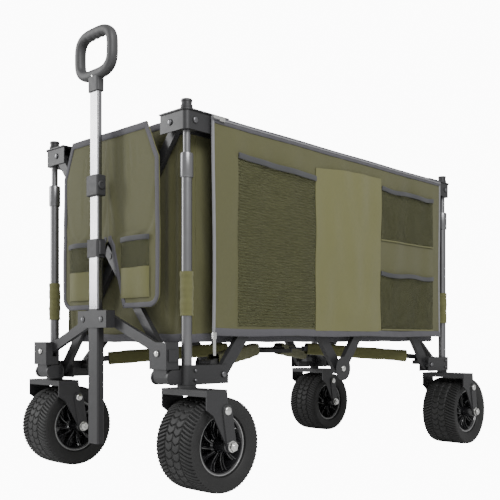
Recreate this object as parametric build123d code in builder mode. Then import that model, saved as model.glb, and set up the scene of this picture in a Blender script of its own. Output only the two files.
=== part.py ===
"""A folding four-wheeled camp wagon with a scissor frame, a fabric bag and an upright telescopic handle.

Millimetres. +Z is up, -Y is the front with the handle, and +X is the side that carries the organizer.
The origin is under the middle of the whole object's box, on the floor.
Corners are called fr, fl, rr and rl: front or rear, then right (+X) or left (-X).
"""
import os
from math import asin, atan2, cos, degrees, hypot, radians, sin, sqrt

from build123d import *

# ---- driving dimensions -------------------------------------------------------------------
frame_width = 496          # between post axes, across
frame_length = 1036        # between post axes, along
frame_rise = 525           # upper scissor pins above the lower ones
running_gap = 0.05         # radial clearance of every pin in its hole
slip_gap = 0.3             # clearance of telescoping tubes and between facing parts
cloth_gap = 0.5            # clearance of fabric from its neighbours

wheel_diameter = 200
tyre_width = 108
rim_diameter = 129
axle_diameter = 12
hub_diameter = 34
axle_trail = 46            # axle behind the kingpin

fork_side_room = 15        # fork's side beyond the tyre's
fork_out = 15              # fork's middle outboard of the kingpin
fork_lead = 22             # fork's front edge ahead of the kingpin
fork_crown_gap = 16        # fork's top above the tyre
fork_depth = 56
fork_plate = 3
fork_lip = 13
fork_cheek = 51            # height of the fork's wide part
fork_link_width = 25
kingpin_diameter = 14
nut_width = 17
nut_height = 7

post_diameter = 22
post_top_drop = 68         # post's top below the upper pins
collar_wall = 1.5
collar_height = 50
rod_diameter = 15
rod_room = 1               # radial room of the rod in the post
rod_length = 250

lower_pin_rise = 27        # lower pins above the fork's top
side_pin_inset = 90        # side scissor pins, in from the post axis
end_pin_inset = 34         # end scissor pins, in from the post axis
pin_diameter = 8
rivet_head = 14
rivet_head_height = 1.6
small_rivet = 7
small_rivet_in = 9         # small rivets behind the post axis
small_rivet_apart = 20

arm_thickness = 12
arm_wall = 1.5
side_arm_height = 28
end_arm_height = 22
layer_gap = 1
mid_plate_diameter = 60
mid_plate_thickness = 2

bracket_height = 42
bracket_plate = 3
bracket_bend = 11          # outside radius of the sheet round the post
lower_side_leg = 105
lower_end_leg = 62
top_side_leg = 104
top_end_leg = 66
top_plate = 3
top_overhang = 3
cap_diameter = 22
cap_height = 22

base_pin_rise = 22         # base arms' pins above the lower scissor pins
base_pin_in_x = 30         # base arm's corner pin, in from the post axis
base_pin_in_y = 82
base_arm_width = 20
base_arm_depth = 14
base_slope = 4             # degrees, up towards the middle
base_tip_radius = 68       # from the middle to the tongue's end
tongue_width = 8
tongue_depth = 6
tongue_length = 40
base_lug = 3
base_foot_drop = 10        # foot's top below the base pin
hub_plate_radius = 70
hub_plate_height = 10
hub_dome_radius = 48
hub_dome_height = 5

handle_reach = 50          # handle tube's axis ahead of the front posts
box_inner_in = 52          # clevis box's side nearest the middle, in from the post axis
box_outer_in = -1.5
box_depth = 34
box_height = 55
box_pocket = 35            # depth of the slot that takes the arm
box_wall = 5
box_rise = 13              # box's underside above the lower scissor pins
tilt_pin_drop = 4          # tilt pins below the lower scissor pins
tilt_pin_reach = 38        # tilt axis ahead of the front posts
ear_radius = 15.5
ear_width = 5
handle_arm_in = 26         # arm's outer pin, in from the post axis
handle_arm_over = 12       # arm's outer pin above the floor of the box's slot
handle_arm_height = 22
handle_arm_thickness = 10
hub_pin_x = 34.5
hub_rise = 74              # hub's pins above the arms' outer pins
hub_width = 108
hub_height = 38
hub_sheet = 2.5

tube_width = 38
tube_depth = 18
tube_wall = 1.2
lower_tube_over = 23       # lower tube's top above the hub's pins
lower_tube_length = 300
middle_tube_out = 115      # from the lower tube's top to the latch
middle_tube_length = 375
latch_height = 40
upper_tube_out = 332       # from the latch to the grip's neck
upper_tube_length = 732
grip_width = 145
grip_height = 116
grip_depth = 25
grip_bar = 25
neck_height = 30

bag_side_gap = 3           # bag's wall from the bracket cores, across
bag_end_gap = 1.5          # the same, along
bag_over_base = 47         # bag's underside above the base pins
bag_over_pins = 17         # bag's top above the upper scissor pins
bag_wall = 3
bag_corner = 24
organizer_end_in = 38.5    # organizer's ends in from the bag's
organizer_under = 13       # organizer's underside above the bag's
organizer_thickness = 3
pocket_depth = 14
pocket_skin = 2
long_pocket_in = 72        # from the organizer's front end
long_pocket_width = 267
long_pocket_up = 20        # from the organizer's underside
long_pocket_height = 373
short_pocket_in = 40       # from the organizer's rear end
short_pocket_width = 265
upper_pocket_up = 258
upper_pocket_height = 145
lower_pocket_up = 17
lower_pocket_height = 158
apron_post_gap = 68        # apron's sides from the post axes
apron_top_step = 40        # how much narrower each side is at the top
apron_shoulder_drop = 80
apron_under = 74           # apron's underside above the bag's
apron_corner = 30
apron_thickness = 3
notch_width = 120
notch_tip_width = 20
notch_height = 154
bottle_pocket_depth = 26
bottle_pocket_in = 50      # from the middle
bottle_pocket_side = 25    # from the apron's side
bottle_pocket_up = 22      # from the apron's underside
bottle_pocket_height = 132

# ---- sizes that follow ---------------------------------------------------------------------
half_width = frame_width / 2
half_length = frame_length / 2
axle_z = wheel_diameter / 2
fork_width = tyre_width + 2 * fork_side_room
fork_top_z = wheel_diameter + fork_crown_gap
fork_shoulder_z = fork_top_z - fork_cheek
lower_pin_z = fork_top_z + lower_pin_rise
top_pin_z = lower_pin_z + frame_rise
post_top_z = top_pin_z - post_top_drop
post_bore = rod_diameter + 2 * rod_room
collar_diameter = post_diameter + 2 * collar_wall
layer = (arm_thickness + layer_gap) / 2       # arm planes on each side of the post plane
channel = layer + arm_thickness / 2 + cloth_gap
bracket_core = 2 * (channel + bracket_plate)
rivet_out = bracket_core / 2 + rivet_head_height
base_pin_z = lower_pin_z + base_pin_rise
base_foot_top_z = base_pin_z - base_foot_drop
box_bottom_z = lower_pin_z + box_rise
box_top_z = box_bottom_z + box_height
box_floor_z = box_top_z - box_pocket
tilt_pin_z = lower_pin_z - tilt_pin_drop
handle_arm_z = box_floor_z + handle_arm_over
hub_pin_z = handle_arm_z + hub_rise
lower_tube_top_z = hub_pin_z + lower_tube_over
lower_tube_bottom_z = lower_tube_top_z - lower_tube_length
latch_bottom_z = lower_tube_top_z + middle_tube_out
latch_top_z = latch_bottom_z + latch_height
middle_tube_bottom_z = latch_bottom_z - middle_tube_length
upper_tube_top_z = latch_top_z + upper_tube_out
upper_tube_bottom_z = upper_tube_top_z - upper_tube_length
bag_half_width = half_width - bracket_core / 2 - bag_side_gap       # to the outside of the wall
bag_half_length = half_length - bracket_core / 2 - bag_end_gap
bag_bottom_z = base_pin_z + bag_over_base
bag_top_z = top_pin_z + bag_over_pins
organizer_half_length = bag_half_length - organizer_end_in
organizer_bottom_z = bag_bottom_z + organizer_under
apron_half_width = half_width - apron_post_gap
apron_bottom_z = bag_bottom_z + apron_under
bottle_pocket_out = apron_half_width - bottle_pocket_side
bottle_pocket_bottom_z = apron_bottom_z + bottle_pocket_up
bottle_pocket_top_z = bottle_pocket_bottom_z + bottle_pocket_height
lower_bracket_z = lower_pin_z - bracket_height / 2 + 1.5
top_bracket_z = top_pin_z - bracket_height / 2 + 1
handle_y = -half_length - handle_reach
hub_front_y = handle_y - tube_depth / 2 - slip_gap - hub_sheet
front_reach = hub_front_y - rivet_head_height
rear_reach = half_length + axle_trail + wheel_diameter / 2
centre_y = -(front_reach + rear_reach) / 2   # the posts' centre, seen from the origin
corners = {"fr": (1, -1), "fl": (-1, -1), "rr": (1, 1), "rl": (-1, 1)}
# which layer each corner's arm ends lie in: 1 is away from the bag, -1 next to it
lower_layer = {"fr": 1, "fl": 1, "rr": -1, "rl": -1}
lower_end_layer = {"fr": 1, "fl": -1, "rr": 1, "rl": -1}

os.makedirs("parts", exist_ok=True)


def save(piece, name):
    piece.part.label = name
    export_step(piece.part, f"parts/{name}.step")


def along(y):
    """A Y place measured from the posts' centre."""
    return centre_y + y


def block(x0, x1, y0, y1, z0, z1, mode=Mode.ADD):
    """A box between two corners, given in either order."""
    middle = ((x0 + x1) / 2, (y0 + y1) / 2, (z0 + z1) / 2)
    with Locations(middle):
        Box(abs(x1 - x0), abs(y1 - y0), abs(z1 - z0), mode=mode)


def rod_x(x0, x1, y, z, radius, mode=Mode.ADD):
    """A round bar along X."""
    with Locations(Location(((x0 + x1) / 2, y, z), (0, 90, 0))):
        Cylinder(radius, abs(x1 - x0), mode=mode)


def rod_y(x, y0, y1, z, radius, mode=Mode.ADD):
    """A round bar along Y."""
    with Locations(Location((x, (y0 + y1) / 2, z), (90, 0, 0))):
        Cylinder(radius, abs(y1 - y0), mode=mode)


def rod_z(x, y, z0, z1, radius, mode=Mode.ADD):
    """A round bar along Z."""
    with Locations((x, y, (z0 + z1) / 2)):
        Cylinder(radius, abs(z1 - z0), mode=mode)


def rivet_x(x0, x1, y, z):
    """A rivet along X whose heads stand outside x0 and x1."""
    low, high = min(x0, x1), max(x0, x1)
    rod_x(low - rivet_head_height, high + rivet_head_height, y, z, pin_diameter / 2)
    rod_x(low - rivet_head_height, low, y, z, rivet_head / 2)
    rod_x(high, high + rivet_head_height, y, z, rivet_head / 2)


def rivet_y(x, y0, y1, z):
    """A rivet along Y whose heads stand outside y0 and y1."""
    low, high = min(y0, y1), max(y0, y1)
    rod_y(x, low - rivet_head_height, high + rivet_head_height, z, pin_diameter / 2)
    rod_y(x, low - rivet_head_height, low, z, rivet_head / 2)
    rod_y(x, high, high + rivet_head_height, z, rivet_head / 2)


def legs(px, py, sx, sy, z0, z1, side_leg, end_leg):
    """The two channel legs of a corner bracket, each a pair of plates that the arms run between."""
    inner, outer = bracket_core / 2 - bracket_plate, bracket_core / 2
    for side in (1, -1):
        block(px + sx * side * inner, px + sx * side * outer, py, py - sy * side_leg, z0, z1)
        block(px, px - sx * end_leg, py + sy * side * inner, py + sy * side * outer, z0, z1)


def bend(bracket, x, y, z, radius):
    """Rounds the upright edge of a bracket that stands nearest to a point."""
    edge = bracket.edges().filter_by(Axis.Z).sort_by_distance((x, y, z))[0]
    fillet(edge, radius)


def spacer_x(px, sx, y, z, side):
    """A bush on a side pin, in the layer that the arm leaves free."""
    rod_x(px, px + sx * side * (channel + slip_gap), y, z, pin_diameter)


def spacer_y(py, sy, x, z, side):
    """A bush on an end pin, in the layer that the arm leaves free."""
    rod_y(x, py, py + sy * side * (channel + slip_gap), z, pin_diameter)


# ---- corner brackets at the bottom, each with its post --------------------------------------
# A block holds the post and the fork's kingpin. Two channel legs take the scissor arms' lower
# ends on rivets. A foot inside the side leg carries the lugs of the base arm.
radial = hypot(half_width - base_pin_in_x, half_length - base_pin_in_y)
toward = ((half_width - base_pin_in_x) / radial, (half_length - base_pin_in_y) / radial)


def lower_bracket(name, sx, sy):
    px, py = sx * half_width, along(sy * half_length)
    z0, z1 = lower_bracket_z, lower_bracket_z + bracket_height - 2
    side_y = py - sy * side_pin_inset
    end_x = px - sx * end_pin_inset
    core = bracket_core / 2
    with BuildPart() as bracket:
        block(px - core, px + core, py - core, py + core, z0, z1)
        legs(px, py, sx, sy, z0, z1, lower_side_leg, lower_end_leg)
        tip = px - sx * lower_end_leg
        cut = bracket_height * 0.4
        for side in (1, -1):
            with BuildSketch(Plane.XZ.offset(-(py + side * core))):
                with BuildLine():
                    Polyline((tip, z1), (tip + sx * cut, z1), (tip, z1 - cut), close=True)
                make_face()
            extrude(amount=bracket_core / 2, both=True, mode=Mode.SUBTRACT)
        rivet_x(px - core, px + core, side_y, lower_pin_z)
        rivet_y(end_x, py - core, py + core, lower_pin_z)
        spacer_x(px, sx, side_y, lower_pin_z, -lower_layer[name])
        spacer_y(py, sy, end_x, lower_pin_z, -lower_end_layer[name])
        bend(bracket, px + sx * core, py + sy * core, (z0 + z1) / 2, bracket_bend)
        # rivets that hold the leg to the block
        for up in (small_rivet_apart / 2, -small_rivet_apart / 2):
            head_y, head_z = py - sy * small_rivet_in, (z0 + z1) / 2 + up
            rod_x(px + sx * core, px + sx * rivet_out, head_y, head_z, small_rivet / 2)
        # foot and lugs of the base arm
        bx, by = px - sx * base_pin_in_x, py - sy * base_pin_in_y
        block(px - sx * core, px - sx * (core + 28), by - 15, by + 15, base_foot_top_z - 12, base_foot_top_z)
        lug_plane = Plane(
            origin=(bx, by, base_pin_z),
            x_dir=(-sx * toward[0], -sy * toward[1], 0),
            z_dir=(sy * toward[1], -sx * toward[0], 0),
        )
        lug_in = base_arm_width / 2 + slip_gap
        for side in (1, -1):
            with BuildSketch(lug_plane.offset(side * (lug_in + base_lug / 2))):
                Circle(8)
                drop = base_pin_z - base_foot_top_z + 1
                up = 1 if lug_plane.y_dir.Z > 0 else -1
                with Locations((0, -up * drop / 2)):
                    Rectangle(16, drop)
            extrude(amount=base_lug / 2, both=True)
        with BuildSketch(lug_plane):
            Circle(pin_diameter / 2)
        extrude(amount=lug_in + base_lug, both=True)
        # seats of the post and the kingpin
        rod_z(px, py, z0 + 16, z1, post_diameter / 2 + running_gap, Mode.SUBTRACT)
        rod_z(px, py, z0, z0 + 16, kingpin_diameter / 2 + running_gap, Mode.SUBTRACT)
        if sy < 0:
            # ears of the handle's tilting box
            inner_x = px - sx * box_inner_in
            outer_x = px - sx * box_outer_in
            pin_y = py - tilt_pin_reach
            for x in (inner_x + sx * ear_width / 2, outer_x - sx * ear_width / 2):
                rod_x(x - ear_width / 2, x + ear_width / 2, pin_y, tilt_pin_z, ear_radius)
                block(x - ear_width / 2, x + ear_width / 2, pin_y, py - core,
                      tilt_pin_z - ear_radius, tilt_pin_z + ear_radius)
            block(inner_x, outer_x, py - core - 3, py - core, z0, z1 - 6)
            rod_x(inner_x, outer_x, pin_y, tilt_pin_z, pin_diameter / 2)
    save(bracket, f"lower_bracket_{name}")


def post(name, sx, sy):
    px, py = sx * half_width, along(sy * half_length)
    seat = lower_bracket_z + 16
    with BuildPart() as tube:
        rod_z(px, py, seat, post_top_z, post_diameter / 2)
        rod_z(px, py, post_top_z - collar_height, post_top_z, collar_diameter / 2)
        bore_top = post_top_z + 1
        rod_z(px, py, seat + 20, bore_top, post_bore / 2, Mode.SUBTRACT)
        rod_z(px, py, post_top_z - collar_height, post_top_z, post_diameter / 2)
        rod_z(px, py, post_top_z - collar_height, bore_top, rod_diameter / 2 + running_gap, Mode.SUBTRACT)
    save(tube, f"post_{name}")


def top_bracket(name, sx, sy):
    px, py = sx * half_width, along(sy * half_length)
    z0, z1 = top_bracket_z, top_bracket_z + bracket_height
    side_y = py - sy * side_pin_inset
    end_x = px - sx * end_pin_inset
    core = bracket_core / 2
    lip = core + top_overhang
    with BuildPart() as bracket:
        block(px - core, px + core, py - core, py + core, z0, z1)
        legs(px, py, sx, sy, z0, z1, top_side_leg, top_end_leg)
        block(px - lip, px + lip, py + sy * lip, py - sy * (top_side_leg + 1), z1 - top_plate, z1)
        block(px + sx * lip, px - sx * (top_end_leg + 1), py - lip, py + lip, z1 - top_plate, z1)
        bend(bracket, px + sx * core, py + sy * core, (z0 + z1) / 2, bracket_bend)
        bend(bracket, px + sx * lip, py + sy * lip, z1 - top_plate / 2, bracket_bend + top_overhang)
        rod_z(px, py, z1, z1 + cap_height, cap_diameter / 2)
        rod_z(px, py, z0 - rod_length, z0, rod_diameter / 2)
        rivet_x(px - core, px + core, side_y, top_pin_z)
        rivet_y(end_x, py - core, py + core, top_pin_z)
        spacer_x(px, sx, side_y, top_pin_z, lower_layer[name])
        spacer_y(py, sy, end_x, top_pin_z, lower_end_layer[name])
        rod_x(px + sx * core, px + sx * rivet_out, py - sy * small_rivet_in, top_pin_z, rivet_head / 2)
    save(bracket, f"top_bracket_{name}")


for corner, (sx, sy) in corners.items():
    lower_bracket(corner, sx, sy)
    post(corner, sx, sy)
    top_bracket(corner, sx, sy)

# ---- scissor arms ---------------------------------------------------------------------------
# Flat tubes with round ends, holes at both ends and at the crossing. Both sides have two pairs,
# both ends have one pair, and all are equally long.
side_span = half_length - side_pin_inset
end_span = frame_width - 2 * end_pin_inset
rise = top_pin_z - lower_pin_z


def arm(plane, start, end, height, holes, pins, plate=None):
    """An arm in a plane, from start to end. holes and pins are shares of its length."""
    run, climb = end[0] - start[0], end[1] - start[1]
    length = hypot(run, climb)
    angle = degrees(atan2(climb, run))
    middle = ((start[0] + end[0]) / 2, (start[1] + end[1]) / 2)
    half = arm_thickness / 2
    with BuildPart() as bar:
        with BuildSketch(plane):
            with Locations(Location((*middle, 0), (0, 0, angle))):
                SlotCenterToCenter(length, height)
        extrude(amount=half, both=True)
        with BuildSketch(plane):
            with Locations(Location((*middle, 0), (0, 0, angle))):
                Rectangle(length + height + 2, height - 2 * arm_wall)
        extrude(amount=half - arm_wall, both=True, mode=Mode.SUBTRACT)
        for share, side in pins:
            place = (start[0] + run * share, start[1] + climb * share)
            with BuildSketch(plane):
                with Locations(place):
                    Circle(pin_diameter / 2)
            reach = arm_thickness * 1.5 + layer_gap
            extrude(amount=side * reach)
            with BuildSketch(plane):
                with Locations(place):
                    Circle(pin_diameter / 2)
            extrude(amount=half, both=True)
            with BuildSketch(plane.offset(-side * half)):
                with Locations(place):
                    Circle(rivet_head / 2)
            extrude(amount=-side * rivet_head_height)
            with BuildSketch(plane.offset(side * reach)):
                with Locations(place):
                    Circle(rivet_head / 2)
            extrude(amount=side * rivet_head_height)
        for share in holes:
            place = (start[0] + run * share, start[1] + climb * share)
            with BuildSketch(plane):
                with Locations(place):
                    Circle(pin_diameter / 2 + running_gap)
            extrude(amount=half, both=True, mode=Mode.SUBTRACT)
        if plate:
            share, side = plate
            place = (start[0] + run * share, start[1] + climb * share)
            with BuildSketch(plane.offset(side * half)):
                with Locations(place):
                    Circle(mid_plate_diameter / 2)
            extrude(amount=side * mid_plate_thickness)
    return bar


for letter, sx in (("r", 1), ("l", -1)):
    front_y, middle_y, rear_y = along(-side_span), along(0), along(side_span)
    outer = Plane.YZ.offset(sx * (half_width + layer))
    inner = Plane.YZ.offset(sx * (half_width - layer))
    # side of a plane's +Z that faces away from the bag
    away = sx
    bar = arm(outer, (front_y, lower_pin_z), (middle_y, top_pin_z), side_arm_height,
              (0,), ((0.5, -away), (1, -away)))
    save(bar, f"side_arm_{letter}1_outer")
    bar = arm(inner, (middle_y, lower_pin_z), (front_y, top_pin_z), side_arm_height, (0, 0.5, 1), ())
    save(bar, f"side_arm_{letter}1_inner")
    bar = arm(inner, (middle_y, top_pin_z), (rear_y, lower_pin_z), side_arm_height, (0, 0.5, 1), ())
    save(bar, f"side_arm_{letter}2_inner")
    bar = arm(outer, (middle_y, lower_pin_z), (rear_y, top_pin_z), side_arm_height,
              (1,), ((0.5, -away), (0, -away)), (0, away))
    save(bar, f"side_arm_{letter}2_outer")

for word, sy in (("front", -1), ("rear", 1)):
    right_x, left_x = end_span / 2, -end_span / 2
    outer = Plane.XZ.offset(-along(sy * (half_length + layer)))
    inner = Plane.XZ.offset(-along(sy * (half_length - layer)))
    bar = arm(outer, (right_x, lower_pin_z), (left_x, top_pin_z), end_arm_height,
              (0, 1), ((0.5, sy),))
    save(bar, f"end_arm_{word}_outer")
    bar = arm(inner, (left_x, lower_pin_z), (right_x, top_pin_z), end_arm_height, (0, 0.5, 1), ())
    save(bar, f"end_arm_{word}_inner")

# ---- base: four arms from the corners to a hub under the bag ----------------------------------
# Each arm is a square tube that ends in a narrow tongue, and the tongues rest on the hub's rim.
slope = radians(base_slope)
base_length = (radial - base_tip_radius) / cos(slope)
tongue_z = base_pin_z + base_length * sin(slope)

for corner, (sx, sy) in corners.items():
    bx = sx * (half_width - base_pin_in_x)
    by = along(sy * (half_length - base_pin_in_y))
    heading = (-sx * toward[0] * cos(slope), -sy * toward[1] * cos(slope), sin(slope))
    across = (sy * toward[1], -sx * toward[0], 0)
    plane = Plane(origin=(bx, by, base_pin_z), x_dir=heading, z_dir=across)
    tube_length = base_length - tongue_length
    with BuildPart() as base_arm:
        with BuildSketch(plane):
            Circle(base_arm_depth / 2)
            with Locations((tube_length / 2, 0)):
                Rectangle(tube_length, base_arm_depth)
        extrude(amount=base_arm_width / 2, both=True)
        with BuildSketch(plane):
            with Locations((tube_length / 2, 0)):
                Rectangle(tube_length - 30, base_arm_depth - 2 * arm_wall)
        extrude(amount=base_arm_width / 2 - arm_wall, both=True, mode=Mode.SUBTRACT)
        with BuildSketch(plane):
            with Locations((tube_length + tongue_length / 2 - 4, 0)):
                Rectangle(tongue_length + 8, tongue_depth)
        extrude(amount=tongue_width / 2, both=True)
        with BuildSketch(plane):
            Circle(pin_diameter / 2 + running_gap)
        extrude(amount=base_arm_width, both=True, mode=Mode.SUBTRACT)
    save(base_arm, f"base_arm_{corner}")

rim_z = tongue_z - tongue_depth / 2 - slip_gap - (hub_plate_radius - base_tip_radius) * sin(slope)
with BuildPart() as base_hub:
    rod_z(0, along(0), rim_z - hub_plate_height, rim_z, hub_plate_radius)
    rod_z(0, along(0), rim_z, rim_z + hub_dome_height, hub_dome_radius)
save(base_hub, "base_hub")

# ---- forks, axles and wheels -------------------------------------------------------------------
# A pressed channel turns on a kingpin. Its legs narrow to links that reach back to the axle.
leg_out = fork_width / 2
front_edge, rear_edge = -fork_lead, fork_depth - fork_lead


def fork(name, sx, sy):
    pin_x, py = sx * half_width, along(sy * half_length)
    px, ay = pin_x + sx * fork_out, py + axle_trail
    with BuildPart() as piece:
        block(px - leg_out, px + leg_out, py + front_edge, py + rear_edge,
              fork_top_z - fork_plate, fork_top_z)
        for edge, turn in ((front_edge, 1), (rear_edge, -1)):
            block(px - leg_out, px + leg_out, py + edge, py + edge + turn * fork_plate,
                  fork_top_z - fork_lip, fork_top_z)
        for side in (1, -1):
            x = px + side * (leg_out - fork_plate / 2)
            with BuildSketch(Plane.YZ.offset(x)):
                with BuildLine():
                    Polyline(
                        (py + front_edge, fork_top_z),
                        (py + rear_edge, fork_top_z),
                        (py + rear_edge + 6, fork_shoulder_z),
                        (ay + fork_link_width / 2, axle_z),
                        (ay - fork_link_width / 2, axle_z),
                        (py + front_edge + 18, fork_shoulder_z),
                        (py + front_edge, fork_shoulder_z + 12),
                        close=True,
                    )
                make_face()
                with Locations((ay, axle_z)):
                    Circle(fork_link_width / 2)
            extrude(amount=fork_plate / 2, both=True)
            face = px + side * leg_out
            head = face + side * rivet_head_height
            bolt_y = (py + rear_edge + ay - fork_link_width / 2) / 2
            rod_x(face, head, bolt_y, fork_shoulder_z + 8, rivet_head / 2)
            with BuildSketch(Plane.YZ.offset(face)):
                with Locations((ay, axle_z)):
                    RegularPolygon(nut_width / 2, 6, major_radius=False)
            extrude(amount=side * nut_height)
        rod_x(px - leg_out, px + leg_out, ay, axle_z, axle_diameter / 2)
        washer = lower_bracket_z - slip_gap
        rod_z(pin_x, py, fork_top_z - fork_plate, washer, 20 if sy < 0 else 15)
        rod_z(pin_x, py, fork_top_z, lower_bracket_z + 14, kingpin_diameter / 2)
    save(piece, f"fork_{name}")


def wheel(name, sx, sy):
    px, ay = sx * (half_width + fork_out), along(sy * half_length) + axle_trail
    rim_radius = rim_diameter / 2
    half_tyre = tyre_width / 2
    hub_out = leg_out - fork_plate - cloth_gap
    section = Plane(origin=(px, ay, axle_z), x_dir=(1, 0, 0), z_dir=(0, -1, 0))
    with BuildPart() as tyre:
        with BuildSketch(section):
            with BuildLine():
                crown = wheel_diameter / 2
                shoulder = crown - 12
                bead = rim_radius + slip_gap
                Polyline((-half_tyre + 9, bead), (half_tyre - 9, bead))
                Line((half_tyre - 9, bead), (half_tyre, shoulder - 6))
                RadiusArc((half_tyre, shoulder - 6), (half_tyre - 9, crown - 2), -13)
                ThreePointArc((half_tyre - 9, crown - 2), (0, crown), (-half_tyre + 9, crown - 2))
                RadiusArc((-half_tyre + 9, crown - 2), (-half_tyre, shoulder - 6), -13)
                Line((-half_tyre, shoulder - 6), (-half_tyre + 9, bead))
            make_face()
        revolve(axis=Axis((px, ay, axle_z), (1, 0, 0)))
    save(tyre, f"tyre_{name}")
    with BuildPart() as rim:
        rod_x(px - half_tyre + 10, px + half_tyre - 10, ay, axle_z, rim_radius)
        rod_x(px - half_tyre + 9, px + half_tyre - 9, ay, axle_z, rim_radius - 7, Mode.SUBTRACT)
        rod_x(px - 4, px + 4, ay, axle_z, rim_radius - 5)
        rod_x(px - hub_out, px + hub_out, ay, axle_z, hub_diameter / 2)
        with Locations(Plane(origin=(px, ay, axle_z), x_dir=(0, 1, 0), z_dir=(1, 0, 0))):
            with PolarLocations((hub_diameter + rim_diameter - 14) / 4, 10):
                Box((rim_diameter - 14 - hub_diameter) / 2 + 4, 7, tyre_width - 34)
        rod_x(px - hub_out - 1, px + hub_out + 1, ay, axle_z, axle_diameter / 2 + running_gap, Mode.SUBTRACT)
    save(rim, f"rim_{name}")


for corner, (sx, sy) in corners.items():
    fork(corner, sx, sy)
    wheel(corner, sx, sy)

# ---- handle: tilting boxes, two arms, a hub, three tubes and a grip -----------------------------
pivot_y = along(-half_length - tilt_pin_reach)
tube_y = along(handle_y)
back_sheet_y = tube_y + tube_depth / 2 + slip_gap
arm_y0 = back_sheet_y + hub_sheet + slip_gap
arm_y1 = arm_y0 + handle_arm_thickness
box_rear_y = arm_y1 + slip_gap + box_wall
box_front_y = box_rear_y - box_depth

for letter, sx in (("r", 1), ("l", -1)):
    inner_x = sx * (half_width - box_inner_in)
    outer_x = sx * (half_width - box_outer_in)
    arm_x = sx * (half_width - handle_arm_in)
    with BuildPart() as box:
        block(inner_x, outer_x, box_front_y, box_rear_y, box_bottom_z, box_top_z)
        block(inner_x - sx, outer_x - sx * box_wall, arm_y0 - slip_gap, arm_y1 + slip_gap,
              box_floor_z, box_top_z + 1, Mode.SUBTRACT)
        lug_inner = inner_x + sx * (ear_width + slip_gap)
        lug_outer = outer_x - sx * (ear_width + slip_gap)
        lug_radius = ear_radius - 2
        rod_x(lug_inner, lug_outer, pivot_y, tilt_pin_z, lug_radius)
        block(lug_inner, lug_outer, pivot_y - lug_radius, pivot_y + lug_radius, tilt_pin_z, box_bottom_z + 1)
        rod_x(lug_inner, lug_outer, pivot_y, tilt_pin_z, pin_diameter / 2 + running_gap, Mode.SUBTRACT)
        rivet_y(arm_x, box_front_y, box_rear_y, handle_arm_z)
        button_y = (box_front_y + box_rear_y) / 2
        block(outer_x, outer_x + sx * 3, button_y - 12, button_y + 12, handle_arm_z - 16, handle_arm_z + 8)
    save(box, f"handle_box_{letter}")
    length = hypot(arm_x - sx * hub_pin_x, hub_pin_z - handle_arm_z)
    angle = degrees(atan2(hub_pin_z - handle_arm_z, sx * hub_pin_x - arm_x))
    middle = ((arm_x + sx * hub_pin_x) / 2, (handle_arm_z + hub_pin_z) / 2)
    arm_plane = Plane.XZ.offset(-(arm_y0 + arm_y1) / 2)
    with BuildPart() as handle_arm:
        with BuildSketch(arm_plane):
            with Locations(Location((*middle, 0), (0, 0, angle))):
                SlotCenterToCenter(length, handle_arm_height)
        extrude(amount=handle_arm_thickness / 2, both=True)
        with BuildSketch(arm_plane):
            with Locations(Location((*middle, 0), (0, 0, angle))):
                Rectangle(length + handle_arm_height + 2, handle_arm_height - 2 * arm_wall)
        extrude(amount=handle_arm_thickness / 2 - arm_wall, both=True, mode=Mode.SUBTRACT)
        with BuildSketch(arm_plane):
            with Locations((arm_x, handle_arm_z)):
                Circle(pin_diameter / 2 + running_gap)
            if sx > 0:
                with Locations((hub_pin_x, hub_pin_z)):
                    Circle(pin_diameter / 2 + running_gap)
        extrude(amount=handle_arm_thickness, both=True, mode=Mode.SUBTRACT)
        if sx < 0:
            rod_y(-hub_pin_x, arm_y0, arm_y1, hub_pin_z, pin_diameter / 2)
            rod_y(-hub_pin_x, arm_y1, arm_y1 + rivet_head_height, hub_pin_z, rivet_head / 2)
    save(handle_arm, f"handle_arm_{letter}")

with BuildPart() as hub:
    hub_z0, hub_z1 = hub_pin_z - hub_height / 2, hub_pin_z + hub_height / 2
    block(-hub_width / 2, hub_width / 2, along(hub_front_y), tube_y, hub_z0, hub_z1)
    block(-hub_width / 2, hub_width / 2, tube_y, back_sheet_y + hub_sheet, hub_z0, hub_z1)
    block(-hub_width / 2 + 4, hub_width / 2 - 4, tube_y - tube_depth / 2, tube_y + tube_depth / 2,
          hub_z0, hub_z0 + 6, Mode.SUBTRACT)
    block(-tube_width / 2 - running_gap, tube_width / 2 + running_gap, tube_y - tube_depth / 2 - running_gap,
          tube_y + tube_depth / 2 + running_gap, hub_z0 - 1, hub_z1 + 1, Mode.SUBTRACT)
    for x in (hub_pin_x, -hub_pin_x):
        rod_y(x, along(hub_front_y) - rivet_head_height, along(hub_front_y), hub_pin_z, rivet_head / 2)
    rod_y(hub_pin_x, tube_y, arm_y1 + rivet_head_height + slip_gap, hub_pin_z, pin_diameter / 2)
    rod_y(hub_pin_x, arm_y1 + slip_gap, arm_y1 + slip_gap + rivet_head_height, hub_pin_z, rivet_head / 2)
save(hub, "handle_hub")

step = 2 * (tube_wall + slip_gap)
lower_size = (tube_width, tube_depth)
middle_size = (tube_width - step, tube_depth - step)
upper_size = (tube_width - 2 * step, tube_depth - 2 * step)


def square_tube(name, size, z0, z1, corner):
    """A flat tube along Z at the handle's axis, open at both ends."""
    with BuildPart() as tube:
        with BuildSketch(Plane((0, tube_y, z0))):
            RectangleRounded(*size, corner)
            RectangleRounded(size[0] - 2 * tube_wall, size[1] - 2 * tube_wall, corner - tube_wall,
                             mode=Mode.SUBTRACT)
        extrude(amount=z1 - z0)
    save(tube, name)


square_tube("handle_tube_lower", lower_size, lower_tube_bottom_z, lower_tube_top_z, 4)
square_tube("handle_tube_middle", middle_size, middle_tube_bottom_z, latch_bottom_z, 3.6)
square_tube("handle_tube_upper", upper_size, upper_tube_bottom_z, upper_tube_top_z, 3.2)

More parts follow.
